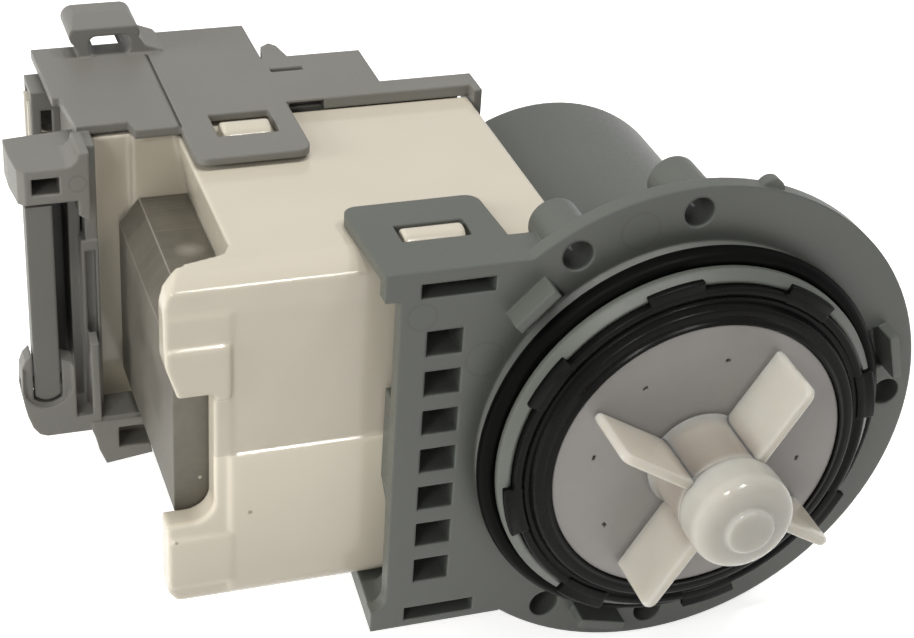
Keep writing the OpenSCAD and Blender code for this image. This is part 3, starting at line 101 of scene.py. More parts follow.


# %% [markdown]
# ## A finish and the patterns that all finishes share
# A moulded edge is never sharp, so each finish rounds its edges in the shading, with the node
# that looks at the surface nearby. The same node tells where the edges are, and there the colour
# gets a touch lighter: a painted highlight along each edge. Noise read from Object coordinates
# gives grain, specks and unevenness.

# %% The finish class
class Finish:
    def __init__(self, name, edge=0.4, **constants):
        self.material = bpy.data.materials.new(name)
        self.material.use_nodes = True
        self.tree = self.material.node_tree
        self.shader = self.tree.nodes["Principled BSDF"]
        for socket, value in constants.items():
            self.shader.inputs[socket.replace("_", " ")].default_value = value
        self.place = self.node("TexCoord", out="Object")
        self.round_normal = self.node("Bevel", {"Radius": edge * MM}, samples=6)
        true_normal = self.node("NewGeometry", out="Normal")
        flat = self.node("VectorMath", {0: self.round_normal, 1: true_normal},
                         operation="DOT_PRODUCT", out="Value")
        # The edge mask: the finishes use it to paint a highlight along the edges.
        self.edge = self.ramp(1 - flat, (0.0, 0.0), (0.25, 1.0))

    def node(self, kind, inputs=(), out=0, **settings):
        """Adds any node: its settings first, then the values or links of its inputs."""
        made = self.tree.nodes.new("ShaderNode" + kind)
        for key, value in settings.items():
            setattr(made, key, value)
        for key, value in dict(inputs).items():
            self.feed(made.inputs[key], value)
        return Value(self, made.outputs[out])

    def feed(self, socket, value):
        if isinstance(value, Value):
            self.tree.links.new(value.socket, socket)
        elif socket.type == "RGBA":
            socket.default_value = (*value, 1)
        else:
            socket.default_value = value

    def ramp(self, value, start, end):
        """Maps a value that runs from start[0] to end[0] onto start[1] to end[1]."""
        return self.node("MapRange", {"Value": value, "From Min": start[0], "From Max": end[0],
                                      "To Min": start[1], "To Max": end[1]})

    def noise(self, size_mm, detail=3, rough=0.5, stretch=None):
        at = self.place
        if stretch:
            at = self.node("Mapping", {"Vector": at, "Scale": stretch})
        return self.node("TexNoise", {"Vector": at, "Scale": 1 / (size_mm * MM),
                                      "Detail": detail, "Roughness": rough})

    def specks(self, cell_mm, size, share):
        """Small dark dots: few cells of a cell pattern hold one, at the cell's own point."""
        cells = {"Vector": self.place, "Scale": 1 / (cell_mm * MM)}
        near = self.node("TexVoronoi", cells, out="Distance")
        lot = self.node("SeparateColor", {0: self.node("TexVoronoi", cells, out="Color")})
        return (near < size) * (lot < share)

    def mix(self, factor, a, b):
        return self.node("Mix", {0: factor, 6: a, 7: b}, out=2, data_type="RGBA")

    def tint(self, colour, factor):
        """The same colour, lighter or darker by a factor that varies."""
        return self.node("VectorMath", {0: colour, "Scale": factor}, operation="SCALE")

    def axes(self):
        """The place's x, y and z, each as a value of its own."""
        return tuple(self.node("SeparateXYZ", {0: self.place}, out=i) for i in range(3))

    def far(self, x_mm, y_mm, z_mm, place=None):
        """The distance from a point given in millimetres."""
        point = (x_mm * MM, y_mm * MM, z_mm * MM)
        return self.node("VectorMath", {0: place or self.place, 1: point}, operation="DISTANCE",
                         out="Value")

    def spot(self, base, point_mm, radius_mm, core, amount, colour):
        """A round spot: full up to a share of its radius, the core, and gone at its rim."""
        share = self.ramp(self.far(*point_mm), (radius_mm * core * MM, amount),
                          (radius_mm * MM, 0.0))
        return self.mix(share, base, colour)

    def bump(self, height, depth_mm, strength=0.5):
        return self.node("Bump", {"Height": height, "Distance": depth_mm * MM,
                                  "Strength": strength, "Normal": self.round_normal})

    def put(self, **sockets):
        for socket, value in sockets.items():
            self.feed(self.shader.inputs[socket.replace("_", " ")], value)
        print(self.material.name, len(self.tree.nodes), "nodes")
        return self.material


def linear(r, g, b):
    """A colour as a screen shows it, 0 to 255, turned into the numbers that the shader wants."""
    return tuple(((c / 255 + 0.055) / 1.055) ** 2.4 for c in (r, g, b))


def times(colour, factor):
    """A fixed colour made lighter or darker, never past white."""
    return tuple(min(1, c * factor) for c in colour)


# %% [markdown]
# ## Grey moulded plastic
# The flange with its cup, and the bracket behind the block, are moulded in a grey plastic with a
# fine satin grain. Slow noise makes the grey uneven by a few percent, fine noise gives the grain,
# and faint rings show where the ejector pins of the mould pressed. The rings could be cut into the
# mesh, but they are a hair deep, so colour and bump show them as well and cost no faces.

# %% Grey plastic
def ejector_rings(f, marks):
    """Thin rings round points in the xz plane, each only on the face at its own y."""
    x, y, z = f.axes()
    flat_place = f.node("CombineXYZ", {0: x, 2: z})
    rings = None
    for mark_x, mark_y, mark_z, radius in marks:
        off = f.node("Math", {0: f.far(mark_x, 0, mark_z, flat_place) - radius * MM},
                     operation="ABSOLUTE")
        depth = f.node("Math", {0: y - mark_y * MM}, operation="ABSOLUTE")
        one = f.ramp(off, (0.05 * MM, 1.0), (0.28 * MM, 0.0)) * (depth < 0.4 * MM)
        rings = one if rings is None else rings + one
    return rings


def moulded(name, colour, rough, marks=(), gap_shade=None):
    f = Finish(name, edge=0.6)
    cloud, grain = f.noise(26, 2), f.noise(0.55, 4, 0.65)
    shade = f.ramp(cloud, (0.3, 0.96), (0.7, 1.04)) + (grain - 0.5) * 0.06
    # Painted highlight: the edges get a lighter grey.
    base = f.mix(f.edge * 0.5, f.tint(colour, shade), times(colour, 1.6))
    height = grain
    if marks:
        rings = ejector_rings(f, marks)
        base = f.mix(rings * 0.34, base, times(colour, 0.6))
        height = grain - rings * 1.2
    # Painted shade: inside the gap box the grey is darkened nearly to black, as deep shadow.
    if gap_shade:
        x, y, z = f.axes()
        right, front, back, top = gap_shade
        shaded_inside = (f.ramp(x, (right * MM, 1.0), ((right + 0.3) * MM, 0.0))
                  * f.ramp(y, (front * MM, 0.0), ((front + 2) * MM, 1.0)) * (y < back * MM)
                  * f.ramp(z, (top * MM, 1.0), ((top + 1) * MM, 0.0)))
        base = f.mix(shaded_inside * 0.85, base, times(colour, 0.1))
    return f.put(Base_Color=base, Roughness=f.ramp(grain, (0.3, rough - 0.05), (0.7, rough + 0.08)),
                 Normal=f.bump(height, 0.012))


# Marks of ejector pins: the middle's x, y and z, and the radius, in millimetres.
FLANGE_MARKS = [(-40.6, 0, 24.2, 2.1), (-8.8, 0, 34.0, 2.9), (-30.9, 0, 15.9, 2.8)]
BRACKET_MARKS = [(-80.5, 45.3, 26, 1.3)]
# The deep gap behind the bar is painted dark as painted shade: its right edge in x, its front and
# back in y and its top in z, in millimetres.
BAR_GAP_SHADE = (-81.4, 51.2, 58.0, 16.5)
housing_grey = moulded("housing_plastic", linear(91, 94, 89), 0.42, FLANGE_MARKS)
bracket_grey = moulded("bracket_plastic", linear(120, 119, 114), 0.44, BRACKET_MARKS, BAR_GAP_SHADE)
bar_grey = moulded("bar_plastic", linear(101, 101, 96), 0.46)

# %% [markdown]
# ## Cream block, insert, steel and rubber
# The block is a glossy cream resin with soft waves in its skin and a few dark specks, and the
# lower half of its front is painted lighter, as painted light. The core is varnished sheet steel,
# dull and painted darker towards the foot as painted shade, with painted highlights on its edges
# near the top. Rubber and the ring are black. Waves and seams are too shallow to model, so noise
# bends the light on them. Noise would put the single dots anywhere, so each of them is a small
# sphere of colour round a point in millimetres.

# %% Cream resin
def resin(name, colour, rough, wave_mm, dots=(), shade_spots=()):
    f = Finish(name, edge=0.6)
    cloud, wave, grain = f.noise(18, 2), f.noise(9, 1), f.noise(1.5, 2)
    base = f.tint(colour, f.ramp(cloud, (0.3, 0.975), (0.7, 1.02)))
    # Painted highlight: the edges get a lighter cream.
    base = f.mix(f.edge * 0.3, base, times(colour, 1.2))
    if dots:
        x, y, z = f.axes()
        # Painted light: the lower half of the front is made lighter.
        painted_light_low_front = f.ramp(z, (-22 * MM, 0.0), (-2 * MM, 1.0)) * (z < -0.5 * MM) * (y < 9 * MM)
        base = f.mix(painted_light_low_front * 0.85, base, times(colour, 1.28))
    for point, radius in dots:
        base = f.spot(base, point, radius, 0.5, 0.6, linear(110, 92, 66))
    base = f.mix(f.specks(9, 0.02, 0.3) * 0.5, base, linear(120, 100, 75))
    # Painted shade: black spots where a deep opening would lie in shadow.
    for point, radius in shade_spots:
        base = f.spot(base, point, radius, 0.9, 0.97, (0.006, 0.006, 0.006))
    return f.put(Base_Color=base, Roughness=f.ramp(grain, (0.3, rough - 0.02), (0.7, rough + 0.03)),
                 Normal=f.bump(wave, wave_mm))


# Dark dots on the block's front, and the part of the insert that shows through the small window
# of its shroud, which is painted black as painted shade of a deep opening: a point and a radius,
# in millimetres.
CREAM_DOTS = [((-63.0, 7.6, -10.9), 0.45), ((-74.3, 7.4, 19.4), 0.3), ((-74.0, 7.4, -14.5), 0.35)]
INSERT_OPENING_SHADE = [((-80.0, 76.3, 22.4), 3.0)]
cream = resin("cream_resin", linear(209, 202, 186), 0.15, 0.03, dots=CREAM_DOTS)
insert_white = resin("insert_plastic", linear(222, 218, 206), 0.45, 0.01, shade_spots=INSERT_OPENING_SHADE)

# %% Steel of the core
# A pale smear, which is a painted highlight, a dark speck and a bright dot: point and radius in
# millimetres, amount, colour.
STEEL_MARKS_AND_SHEEN = [((-65.8, 34.9, 18.6), 2.6, 0.45, (0.55, 0.53, 0.47)),
               ((-72.5, 28.7, 17.8), 0.7, 0.8, (0.02, 0.02, 0.015)),
               ((-69.4, 12.5, -6.9), 0.35, 0.9, (0.6, 0.58, 0.5))]


def sheet_steel(name, colour, rough):
    f = Finish(name, edge=0.45, Metallic=0.45)
    cloud, mottle = f.noise(11, 3, 0.6), f.noise(1.6, 3, 0.6)
    seam = f.noise(0.9, 2, 0.5, stretch=(0.04, 1, 0.04))
    base = f.tint(colour, f.ramp(cloud, (0.25, 0.8), (0.75, 1.2)) + (mottle - 0.5) * 0.2
                  + (seam - 0.5) * 0.22)
    x, y, z = f.axes()
    # Painted shade: the colour grows darker towards the foot.
    base = f.tint(base, f.ramp(z, (-22 * MM, 0.62), (8 * MM, 1.0)))
    # Painted highlight: the edges near the top get a pale colour.
    base = f.mix(f.edge * f.ramp(z, (11 * MM, 0.12), (15 * MM, 1.0)), base, (0.85, 0.82, 0.74))
    base = f.mix(f.specks(3.4, 0.04, 0.12) * 0.7, base, times(colour, 0.35))
    # The pale smear among these spots is a painted highlight.
    for point, radius, amount, target in STEEL_MARKS_AND_SHEEN:
        base = f.spot(base, point, radius, 0.2, amount, target)
    return f.put(Base_Color=base, Roughness=f.ramp(cloud, (0.3, rough - 0.06), (0.7, rough + 0.08)),
                 Normal=f.bump(seam, 0.006))


core_steel = sheet_steel("core_steel", (0.168, 0.156, 0.129), 0.5)

# %% Black rubber and black plastic
def black(name, level, rough, grain_mm, depth_mm, **constants):
    f = Finish(name, edge=0.35, **constants)
    grain, smear = f.noise(grain_mm, 3), f.noise(9, 3, 0.6)
    base = f.tint((level, level, level * 0.95), f.ramp(smear, (0.3, 0.8), (0.7, 1.3)))
    # Painted highlight: the edges get a lighter black.
    base = f.mix(f.edge * 0.4, base, (level * 2.2, level * 2.2, level * 2.1))
    return f.put(Base_Color=base, Roughness=f.ramp(smear, (0.3, rough - 0.07), (0.7, rough + 0.1)),
                 Normal=f.bump(grain, depth_mm))


seal_rubber = black("seal_rubber", 0.0025, 0.36, 0.7, 0.006, Specular_IOR_Level=0.045)
ring_black = black("ring_plastic", 0.004, 0.26, 1.4, 0.008, Specular_IOR_Level=0.1)
cushion_rubber = black("cushion_rubber", 0.02, 0.7, 0.4, 0.02)

# %% [markdown]
# ## Nylon, disc and the metals inside
# The impeller is natural nylon: milky, a little see-through, and brownish along the hub, where
# the dog inside shows. The light that enters it is scattered under the skin by a fixed share.
# Real see-through would be slow and grainy to render, so the brown is laid on by the distance
# from the axis. The metals inside share a fine noise that is stretched along the axis.

# %% Nylon and the pale plastics
def nylon_like(name, colour, rough, deep=None, scatter=0.1):
    f = Finish(name, edge=0.5, Subsurface_Weight=scatter, Subsurface_Scale=0.007)
    f.shader.inputs["Subsurface Radius"].default_value = (1.0, 0.85, 0.7)
    cloud, grain = f.noise(6, 3, 0.6), f.noise(0.5, 3)
    base = f.tint(colour, f.ramp(cloud, (0.3, 0.97), (0.7, 1.02)))
    if deep:
        x, y, z = f.axes()
        from_axis = f.node("VectorMath", {0: f.node("CombineXYZ", {0: x, 2: z})},
                           operation="LENGTH", out="Value")
        core = f.ramp(from_axis, (7.4 * MM, 1.0), (10.0 * MM, 0.0))
        behind = f.ramp(y, (-21.2 * MM, 0.0), (-19.0 * MM, 1.0))
        fading = f.ramp(y, (-17.5 * MM, 1.0), (-9.5 * MM, 0.45))
        base = f.mix(core * behind * fading * f.ramp(cloud, (0.3, 0.8), (0.7, 1.0)), base, deep)
    # Painted highlight: the edges get a lighter colour.
    base = f.mix(f.edge * 0.2, base, times(colour, 1.2))
    return f.put(Base_Color=base, Roughness=f.ramp(grain, (0.3, rough - 0.04), (0.7, rough + 0.06)),
                 Normal=f.bump(cloud, 0.03, 0.4))


nylon = nylon_like("nylon", linear(183, 181, 174), 0.13, deep=linear(147, 137, 127), scatter=0.85)
disc_grey = nylon_like("disc_plastic", linear(156, 153, 151), 0.4, scatter=0.0)
dog_plastic = nylon_like("dog_plastic", linear(222, 212, 190), 0.4)
washer_plastic = nylon_like("washer_plastic", linear(232, 228, 216), 0.4)
bobbin_plastic = nylon_like("bobbin_plastic", linear(214, 204, 178), 0.45)

# %% Metals and ceramics inside
def turned_metal(name, colour, rough, pore=0.0, metallic=1.0):
    f = Finish(name, edge=0.25, Metallic=metallic)
    cloud, fine = f.noise(5, 3, 0.6), f.noise(0.25, 3, 0.6, stretch=(1, 0.2, 1))
    base = f.tint(colour, f.ramp(cloud, (0.3, 0.88), (0.7, 1.1)) + (fine - 0.5) * 0.12)
    if pore:
        base = f.mix(f.specks(0.6, 0.2, pore), base, times(colour, 0.4))
    return f.put(Base_Color=base, Roughness=f.ramp(fine, (0.3, rough - 0.06), (0.7, rough + 0.08)),
                 Normal=f.bump(fine, 0.006))


shaft_steel = turned_metal("shaft_steel", (0.56, 0.56, 0.55), 0.22)
bush_bronze = turned_metal("bush_bronze", (0.52, 0.33, 0.16), 0.48, pore=0.5)
terminal_brass = turned_metal("terminal_brass", (0.66, 0.60, 0.46), 0.3)
copper = turned_metal("copper_wire", (0.62, 0.23, 0.08), 0.3)
ferrite = turned_metal("ferrite", (0.03, 0.03, 0.033), 0.65, pore=0.3, metallic=0.0)
fuse_ceramic = turned_metal("fuse_ceramic", (0.72, 0.72, 0.68), 0.3, metallic=0.0)

# %% Dress the solid parts that keep their shape
def dress(material, *names):
    for name in names:
        mesh = nodes[name].data
        mesh.materials.clear()
        mesh.materials.append(material)
    print(material.name, "is on", ", ".join(names))


dress(housing_grey, "flange_housing", "rear_cap")
dress(bracket_grey, "rear_bracket", "connector_housing")
dress(bar_grey, "latch_bar")
dress(cream, "stator_overmould")
dress(insert_white, "connector_insert")
dress(core_steel, "stator_yoke", "pole_upper", "pole_lower")
dress(seal_rubber, "o_ring")
dress(ring_black, "retaining_ring")
dress(cushion_rubber, "cushion_upper", "cushion_lower", "bearing_mount_front", "bearing_mount_rear")
dress(nylon, "impeller", "impeller_cap")
dress(disc_grey, "cover_disc")
dress(dog_plastic, "drive_dog", "rotor_sleeve")
dress(washer_plastic, "thrust_washer_front", "thrust_washer_rear")
dress(bobbin_plastic, "bobbin_upper", "bobbin_lower")
dress(shaft_steel, "rotor_shaft")
dress(bush_bronze, "bearing_front", "bearing_rear")
dress(terminal_brass, "terminal_upper", "terminal_lower")
dress(copper, "coil_upper", "coil_lower")
dress(ferrite, "rotor_magnet")
dress(fuse_ceramic, "thermal_fuse")

# %% [markdown]
# ## The softened block
# The cast block has soft, slightly swollen edges. A copy of the solid gets an even skin of small
# faces, which is then relaxed a few times, so that flat faces stay flat and every edge and corner
# turns round. Last, faces that add nothing are thinned out. A bevel could round the edges too,
# but it breaks where the small edges of the catches and pads meet.

# %% A soft copy of a solid part
def collect(name, mesh, material, body, *replaced, slot=None):
    """Makes an object of a finished mesh, puts it on its body and hides the solid parts it
    replaces.
    """
    piece = bpy.data.objects.new(name, mesh)
    bpy.context.collection.objects.link(piece)
    mesh.materials.clear()
    mesh.materials.append(material)
    for face in mesh.polygons:
        face.use_smooth = True
    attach(piece, body)
    if replaced:
        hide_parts(*replaced)
    mesh.calc_loop_triangles()
    print(name, len(mesh.loop_triangles), "triangles")
    return piece


def settled(piece, name):
    """The mesh that an object has after all its modifiers; the object itself is removed."""
    seen = piece.evaluated_get(bpy.context.evaluated_depsgraph_get())
    mesh = bpy.data.meshes.new_from_object(seen)
    mesh.name = name
    bpy.data.objects.remove(piece)
    return mesh


def meshed(name, bm):
    """Turns an edit mesh into a plain mesh, and frees the edit mesh."""
    mesh = bpy.data.meshes.new(name)
    bm.to_mesh(mesh)
    bm.free()
    return mesh


def draft(name, bm):
    """A passing object that carries modifiers until its mesh is settled."""
    piece = bpy.data.objects.new(name + "_draft", meshed(name + "_draft", bm))
    bpy.context.collection.objects.link(piece)
    return piece


def softened(node, name, voxel_mm, rounds, keep):
    """A solid's copy with round edges; keep is the share of faces that stays at the end."""
    bm = bmesh.new()
    bm.from_mesh(nodes[node].data)
    bmesh.ops.remove_doubles(bm, verts=bm.verts, dist=0.002 * MM)
    piece = draft(name, bm)
    skin = piece.modifiers.new("even_skin", "REMESH")
    skin.mode, skin.voxel_size = "VOXEL", voxel_mm * MM
    relax = piece.modifiers.new("relax", "SMOOTH")
    relax.factor, relax.iterations = 0.5, rounds
    thin = piece.modifiers.new("thin_out", "DECIMATE")
    thin.ratio = keep
    return settled(piece, name)


block_mesh = softened("stator_overmould", "block", voxel_mm=0.33, rounds=4, keep=0.3)
collect("block", block_mesh, cream, "housing", "stator_overmould", slot="cream_plastic")

# %% [markdown]
# ## Pieces that repeat: Geometry Nodes
# The core is a stack of punched sheets, the ring has eight equal tabs, the impeller four equal
# blades and each winding many equal turns. One small class builds such a tree. It has named
# inputs, sets one piece on many points, and ends with Realize Instances and Set Material.

# %% A helper that builds Geometry Nodes trees
class Repeat:
    KINDS = {"int": "NodeSocketInt", "float": "NodeSocketFloat"}

    def __init__(self, name, **inputs):
        self.tree = bpy.data.node_groups.new(name, "GeometryNodeTree")
        face = self.tree.interface
        face.new_socket("Geometry", in_out="INPUT", socket_type="NodeSocketGeometry")
        self.ids = {}
        for label, (kind, value) in inputs.items():
            item = face.new_socket(label, in_out="INPUT", socket_type=self.KINDS[kind])
            self.ids[label] = (item.identifier, value)
        face.new_socket("Geometry", in_out="OUTPUT", socket_type="NodeSocketGeometry")
        self.inlet = self.tree.nodes.new("NodeGroupInput")
        self.outlet = self.tree.nodes.new("NodeGroupOutput")

    def given(self, label):
        return self.inlet.outputs[label]

    def add(self, kind, inputs=(), out=0, **settings):
        made = self.tree.nodes.new(kind)
        for key, value in settings.items():
            setattr(made, key, value)
        for key, value in dict(inputs).items():
            if isinstance(value, bpy.types.NodeSocket):
                self.tree.links.new(value, made.inputs[key])
            else:
                made.inputs[key].default_value = value
        return made.outputs[out]

    def end(self, geometry, material):
        solid = self.add("GeometryNodeRealizeInstances", {"Geometry": geometry})
        done = self.add("GeometryNodeSetMaterial", {"Geometry": solid, "Material": material})
        self.tree.links.new(done, self.outlet.inputs[0])

    def run(self, piece, name):
        """Puts the tree on a draft object and returns the plain mesh that comes out."""
        grow = piece.modifiers.new(self.tree.name, "NODES")
        grow.node_group = self.tree
        for identifier, value in self.ids.values():
            grow[identifier] = value
        return settled(piece, name)


def turn_copies(repeat, count, part):
    """Sets a part on points at the axis, each turned on about Y by its share of a full turn."""
    points = repeat.add("GeometryNodePoints", {"Count": repeat.given(count)})
    index = repeat.add("GeometryNodeInputIndex")
    step = repeat.add("ShaderNodeMath", {0: 2 * math.pi, 1: repeat.given(count)},
                      operation="DIVIDE")
    angle = repeat.add("ShaderNodeMath", {0: index, 1: step}, operation="MULTIPLY")
    turn = repeat.add("ShaderNodeCombineXYZ", {1: angle})
    return repeat.add("GeometryNodeInstanceOnPoints", {"Points": points, "Instance": part,
                                                       "Rotation": turn})


# %% [markdown]
# ## The laminated yoke
# Punched sheets half a millimetre thick are stacked along the pump's axis. No two lie exactly
# flush, so each copy is shifted to the left and down by up to 0.006 mm, by random numbers with a
# fixed seed. An outline runs round in x and z and has two dovetails, where the core legs grip.
# One block with painted lines would look the same from afar, but real sheets catch the light.

# %% Yoke
def plate(outline, y0, y1):
    """A flat piece: an outline in x and z, in millimetres, given a thickness along y."""
    bm = bmesh.new()
    front = [bm.verts.new((x * MM, y0 * MM, z * MM)) for x, z in outline]
    face = bm.faces.new(front)
    made = bmesh.ops.extrude_face_region(bm, geom=[face])
    for v in (e for e in made["geom"] if isinstance(e, bmesh.types.BMVert)):
        v.co.y = y1 * MM
    bmesh.ops.recalc_face_normals(bm, faces=bm.faces)
    return bm


yoke_low, yoke_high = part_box("stator_yoke")
SHEET_PITCH, SHEET_SHARE, SHEET_PLAY = 0.5, 0.995, 0.006
sheets = round((yoke_high.y - yoke_low.y) / MM / SHEET_PITCH)
x_in, x_out = yoke_high.x / MM, yoke_low.x / MM
z_top, z_low = yoke_high.z / MM, yoke_low.z / MM
y_front = yoke_low.y / MM


def dovetail(z):
    """A notch in the inner side at height z, wider at its floor than at its mouth."""
    return [(x_in, z + 1.7), (x_in - 2.3, z + 2.5), (x_in - 2.3, z - 2.5), (x_in, z - 1.7)]


outline = [(x_in, z_top), *dovetail(14.6), *dovetail(-9.2), (x_in, z_low), (x_out + 1, z_low),
           (x_out, z_low + 1), (x_out, z_top - 4), (x_out + 3.2, z_top)]
stack = Repeat("sheet_stack", Sheets=("int", sheets), Pitch=("float", SHEET_PITCH * MM),
               Play=("float", SHEET_PLAY * MM), Seed=("int", 7))
step_along_y = stack.add("ShaderNodeCombineXYZ", {1: stack.given("Pitch")})
line = stack.add("GeometryNodeMeshLine", {"Count": stack.given("Sheets"), "Offset": step_along_y})
play = stack.given("Play")
low_corner = stack.add("ShaderNodeVectorMath", {0: (-1, 0, -1), "Scale": play}, operation="SCALE")
high_corner = stack.add("ShaderNodeVectorMath", {0: (0, 0, 0), "Scale": play}, operation="SCALE")
shift = stack.add("FunctionNodeRandomValue", {0: low_corner, 1: high_corner,
                                              "Seed": stack.given("Seed")},
                  data_type="FLOAT_VECTOR")
line = stack.add("GeometryNodeSetPosition", {"Geometry": line, "Offset": shift})
stack.end(stack.add("GeometryNodeInstanceOnPoints", {
    "Points": line, "Instance": stack.given("Geometry")}), core_steel)
sheet = draft("sheet", plate(outline, y_front, y_front + SHEET_PITCH * SHEET_SHARE))
yoke = collect("yoke", stack.run(sheet, "yoke"), core_steel, "housing", "stator_yoke",
               slot="core_steel")
for face in yoke.data.polygons:
    face.use_smooth = False

# %% [markdown]
# ## The black ring
# A dished ring in glossy black holds the pale disc. Its body is a profile turned about the axis.
# The eight tabs that hook over the boss are one tab, repeated by a tree. A profile is the easiest
# place to round the corners: it is done once, before the turning, and holds all the way round.

# %% Turned profiles
def turned(profile, steps, closed=True):
    """Turns a profile of (radius, y) points, in millimetres, about the pump's axis."""
    bm = bmesh.new()
    angles = [2 * math.pi * i / steps for i in range(steps)]
    rings = []
    for radius, y in profile:
        if radius < 1e-6:
            rings.append([bm.verts.new((0, y * MM, 0))] * steps)
            continue
        rings.append([bm.verts.new((radius * MM * math.cos(t), y * MM, radius * MM * math.sin(t)))
                      for t in angles])
    for a, b in zip(rings, rings[1:] + (rings[:1] if closed else [])):
        for i in range(steps):
            j = (i + 1) % steps
            corners = []
            for v in (a[i], a[j], b[j], b[i]):
                if v not in corners:
                    corners.append(v)
            if len(corners) > 2:
                bm.faces.new(corners)
    bmesh.ops.recalc_face_normals(bm, faces=bm.faces)
    return bm


def rounded(points, radius, parts, closed=True):
    """Rounds each corner of a profile by cutting it back and bending it in small steps."""
    out = []
    count = len(points)
    for i, p in enumerate(points):
        if not closed and i in (0, count - 1):
            out.append(p)
            continue
        p = Vector(p)
        a, b = Vector(points[i - 1]) - p, Vector(points[(i + 1) % count]) - p
        cut = min(radius, a.length * 0.45, b.length * 0.45)
        start, end = p + a.normalized() * cut, p + b.normalized() * cut
        for k in range(parts + 1):
            t = k / parts
            out.append(tuple(start * (1 - t) ** 2 + p * 2 * t * (1 - t) + end * t ** 2))
    return out


# Profiles are lists of (radius, y) in millimetres; y runs back into the pump.
ring_profile = [(26.5, -2.6), (28.05, -2.6), (28.05, -8.2), (27.1, -8.35), (26.5, -7.9),
                (25.9, -7.9), (25.3, -9.3), (24.2, -9.45), (23.7, -9.3), (23.3, -9.75),
                (22.85, -9.75), (22.85, -7.85), (21.1, -7.85), (21.1, -6.4), (26.5, -6.4)]
ring_body = turned(rounded(ring_profile, 0.4, 4), 160)
print("ring body", len(ring_body.faces), "faces")

# %% Tabs of the ring
TABS, TAB_HALF_ANGLE, FIRST_TAB = 8, 8.5, -12
TAB_INNER, TAB_OUTER, TAB_FRONT, TAB_BACK = 26.6, 29.6, -8.25, -7.1


def arc(radius, from_degrees, to_degrees, parts):
    span = to_degrees - from_degrees
    angles = [math.radians(from_degrees + span * i / parts) for i in range(parts + 1)]
    return [(radius * math.cos(t), radius * math.sin(t)) for t in angles]


def tab_outline(inner_radius, outer_radius, half, corner=1.0, parts=5):
    """A tab seen from the front: inner arc, two rounded outer corners, outer arc."""
    outer, inner = arc(outer_radius, -half, half, 14), arc(inner_radius, half, -half, 10)
    soft = rounded([inner[-1], outer[0], outer[1]], corner, parts, closed=False)[:-1]
    other = rounded([outer[-2], outer[-1], inner[0]], corner, parts, closed=False)[1:]
    return soft[:-1] + outer[2:-2] + other + inner[1:-1]


def turn_y(degrees, size=3):
    return Matrix.Rotation(math.radians(degrees), size, "Y")


tab = plate(tab_outline(TAB_INNER, TAB_OUTER, TAB_HALF_ANGLE), TAB_FRONT, TAB_BACK)
rim = [e for e in tab.edges if abs(e.verts[0].co.y - e.verts[1].co.y) < 1e-6]
bmesh.ops.bevel(tab, geom=rim, offset=0.25 * MM, segments=3, profile=0.5, affect="EDGES")
bmesh.ops.rotate(tab, verts=tab.verts, cent=(0, 0, 0), matrix=turn_y(FIRST_TAB))
tabs = Repeat("ring_tabs", Tabs=("int", TABS))
tabs.end(turn_copies(tabs, "Tabs", tabs.given("Geometry")), ring_black)
ring_body.from_mesh(tabs.run(draft("tab", tab), "ring_tabs"))
ring_mesh = meshed("ring", ring_body)
collect("ring", ring_mesh, ring_black, "housing", "retaining_ring", slot="ring_plastic")

# %% [markdown]
# ## The impeller
# Four flat blades stand round a hollow hub, closed by a drum-shaped cap with a round pip. Hub and
# cap are turned profiles with soft corners. One blade is made and repeated by a tree. They are
# made anew, and not bevelled from the solids, because hub, cap and blade tips each round by a
# radius of their own.

# %% Hub and blades
BLADES, BLADE_TURN = 4, -58.2
BLADE_FRONT, BLADE_BACK = -20.9, -9.9
hub = turned(rounded([(2.06, -9.95), (8.2, -9.95), (8.2, -10.15), (7.72, -10.7), (7.55, -11.6),
                      (7.5, -20.0), (5.6, -20.0), (5.6, -12.4), (2.06, -12.4)], 0.3, 3), 96)
blade = plate([(6.6, -0.85), (20.2, -0.75), (20.6, 0), (20.2, 0.75), (6.6, 0.85)], BLADE_FRONT,
              BLADE_BACK)
tip = [e for e in blade.edges if all(v.co.x > 20 * MM and v.co.y < -20 * MM for v in e.verts)]
bmesh.ops.bevel(blade, geom=tip, offset=1.3 * MM, segments=5, profile=0.5, affect="EDGES",
                clamp_overlap=True)
sharp = [e for e in blade.edges if e.calc_face_angle(0) > 0.6]
bmesh.ops.bevel(blade, geom=sharp, offset=0.5 * MM, segments=4, profile=0.5, affect="EDGES",
                clamp_overlap=True)
bmesh.ops.rotate(blade, verts=blade.verts, cent=(0, 0, 0), matrix=turn_y(BLADE_TURN))
fan = Repeat("blade_fan", Blades=("int", BLADES))
fan.end(turn_copies(fan, "Blades", fan.given("Geometry")), nylon)
hub.from_mesh(fan.run(draft("blade", blade), "blades"))
collect("wheel", meshed("wheel", hub), nylon, "impeller", "impeller", slot="nylon")

# %% Cap
nose = [(0, -20.1), (7.3, -20.1), (7.7, -20.5), (7.8, -21.5), (7.78, -24.8), (7.5, -25.8),
        (6.85, -26.45), (5.8, -26.95), (4.4, -27.2), (3.85, -27.3), (3.7, -27.55), (3.62, -27.95),
        (3.3, -28.15), (2.6, -28.2), (1.4, -28.22), (0, -28.26)]
cap_mesh = meshed("cap", turned(rounded(nose, 0.5, 3, closed=False), 96, closed=False))
collect("cap", cap_mesh, nylon, "impeller", "impeller_cap", slot="nylon")

# %% [markdown]
# ## Two small ribs
# In the two screw holes at the top of the flange a thin rib stands on the wall, to grip the screw.
# Two ribs need no tree: a loop sets one plate in each hole, where the screw circle says.

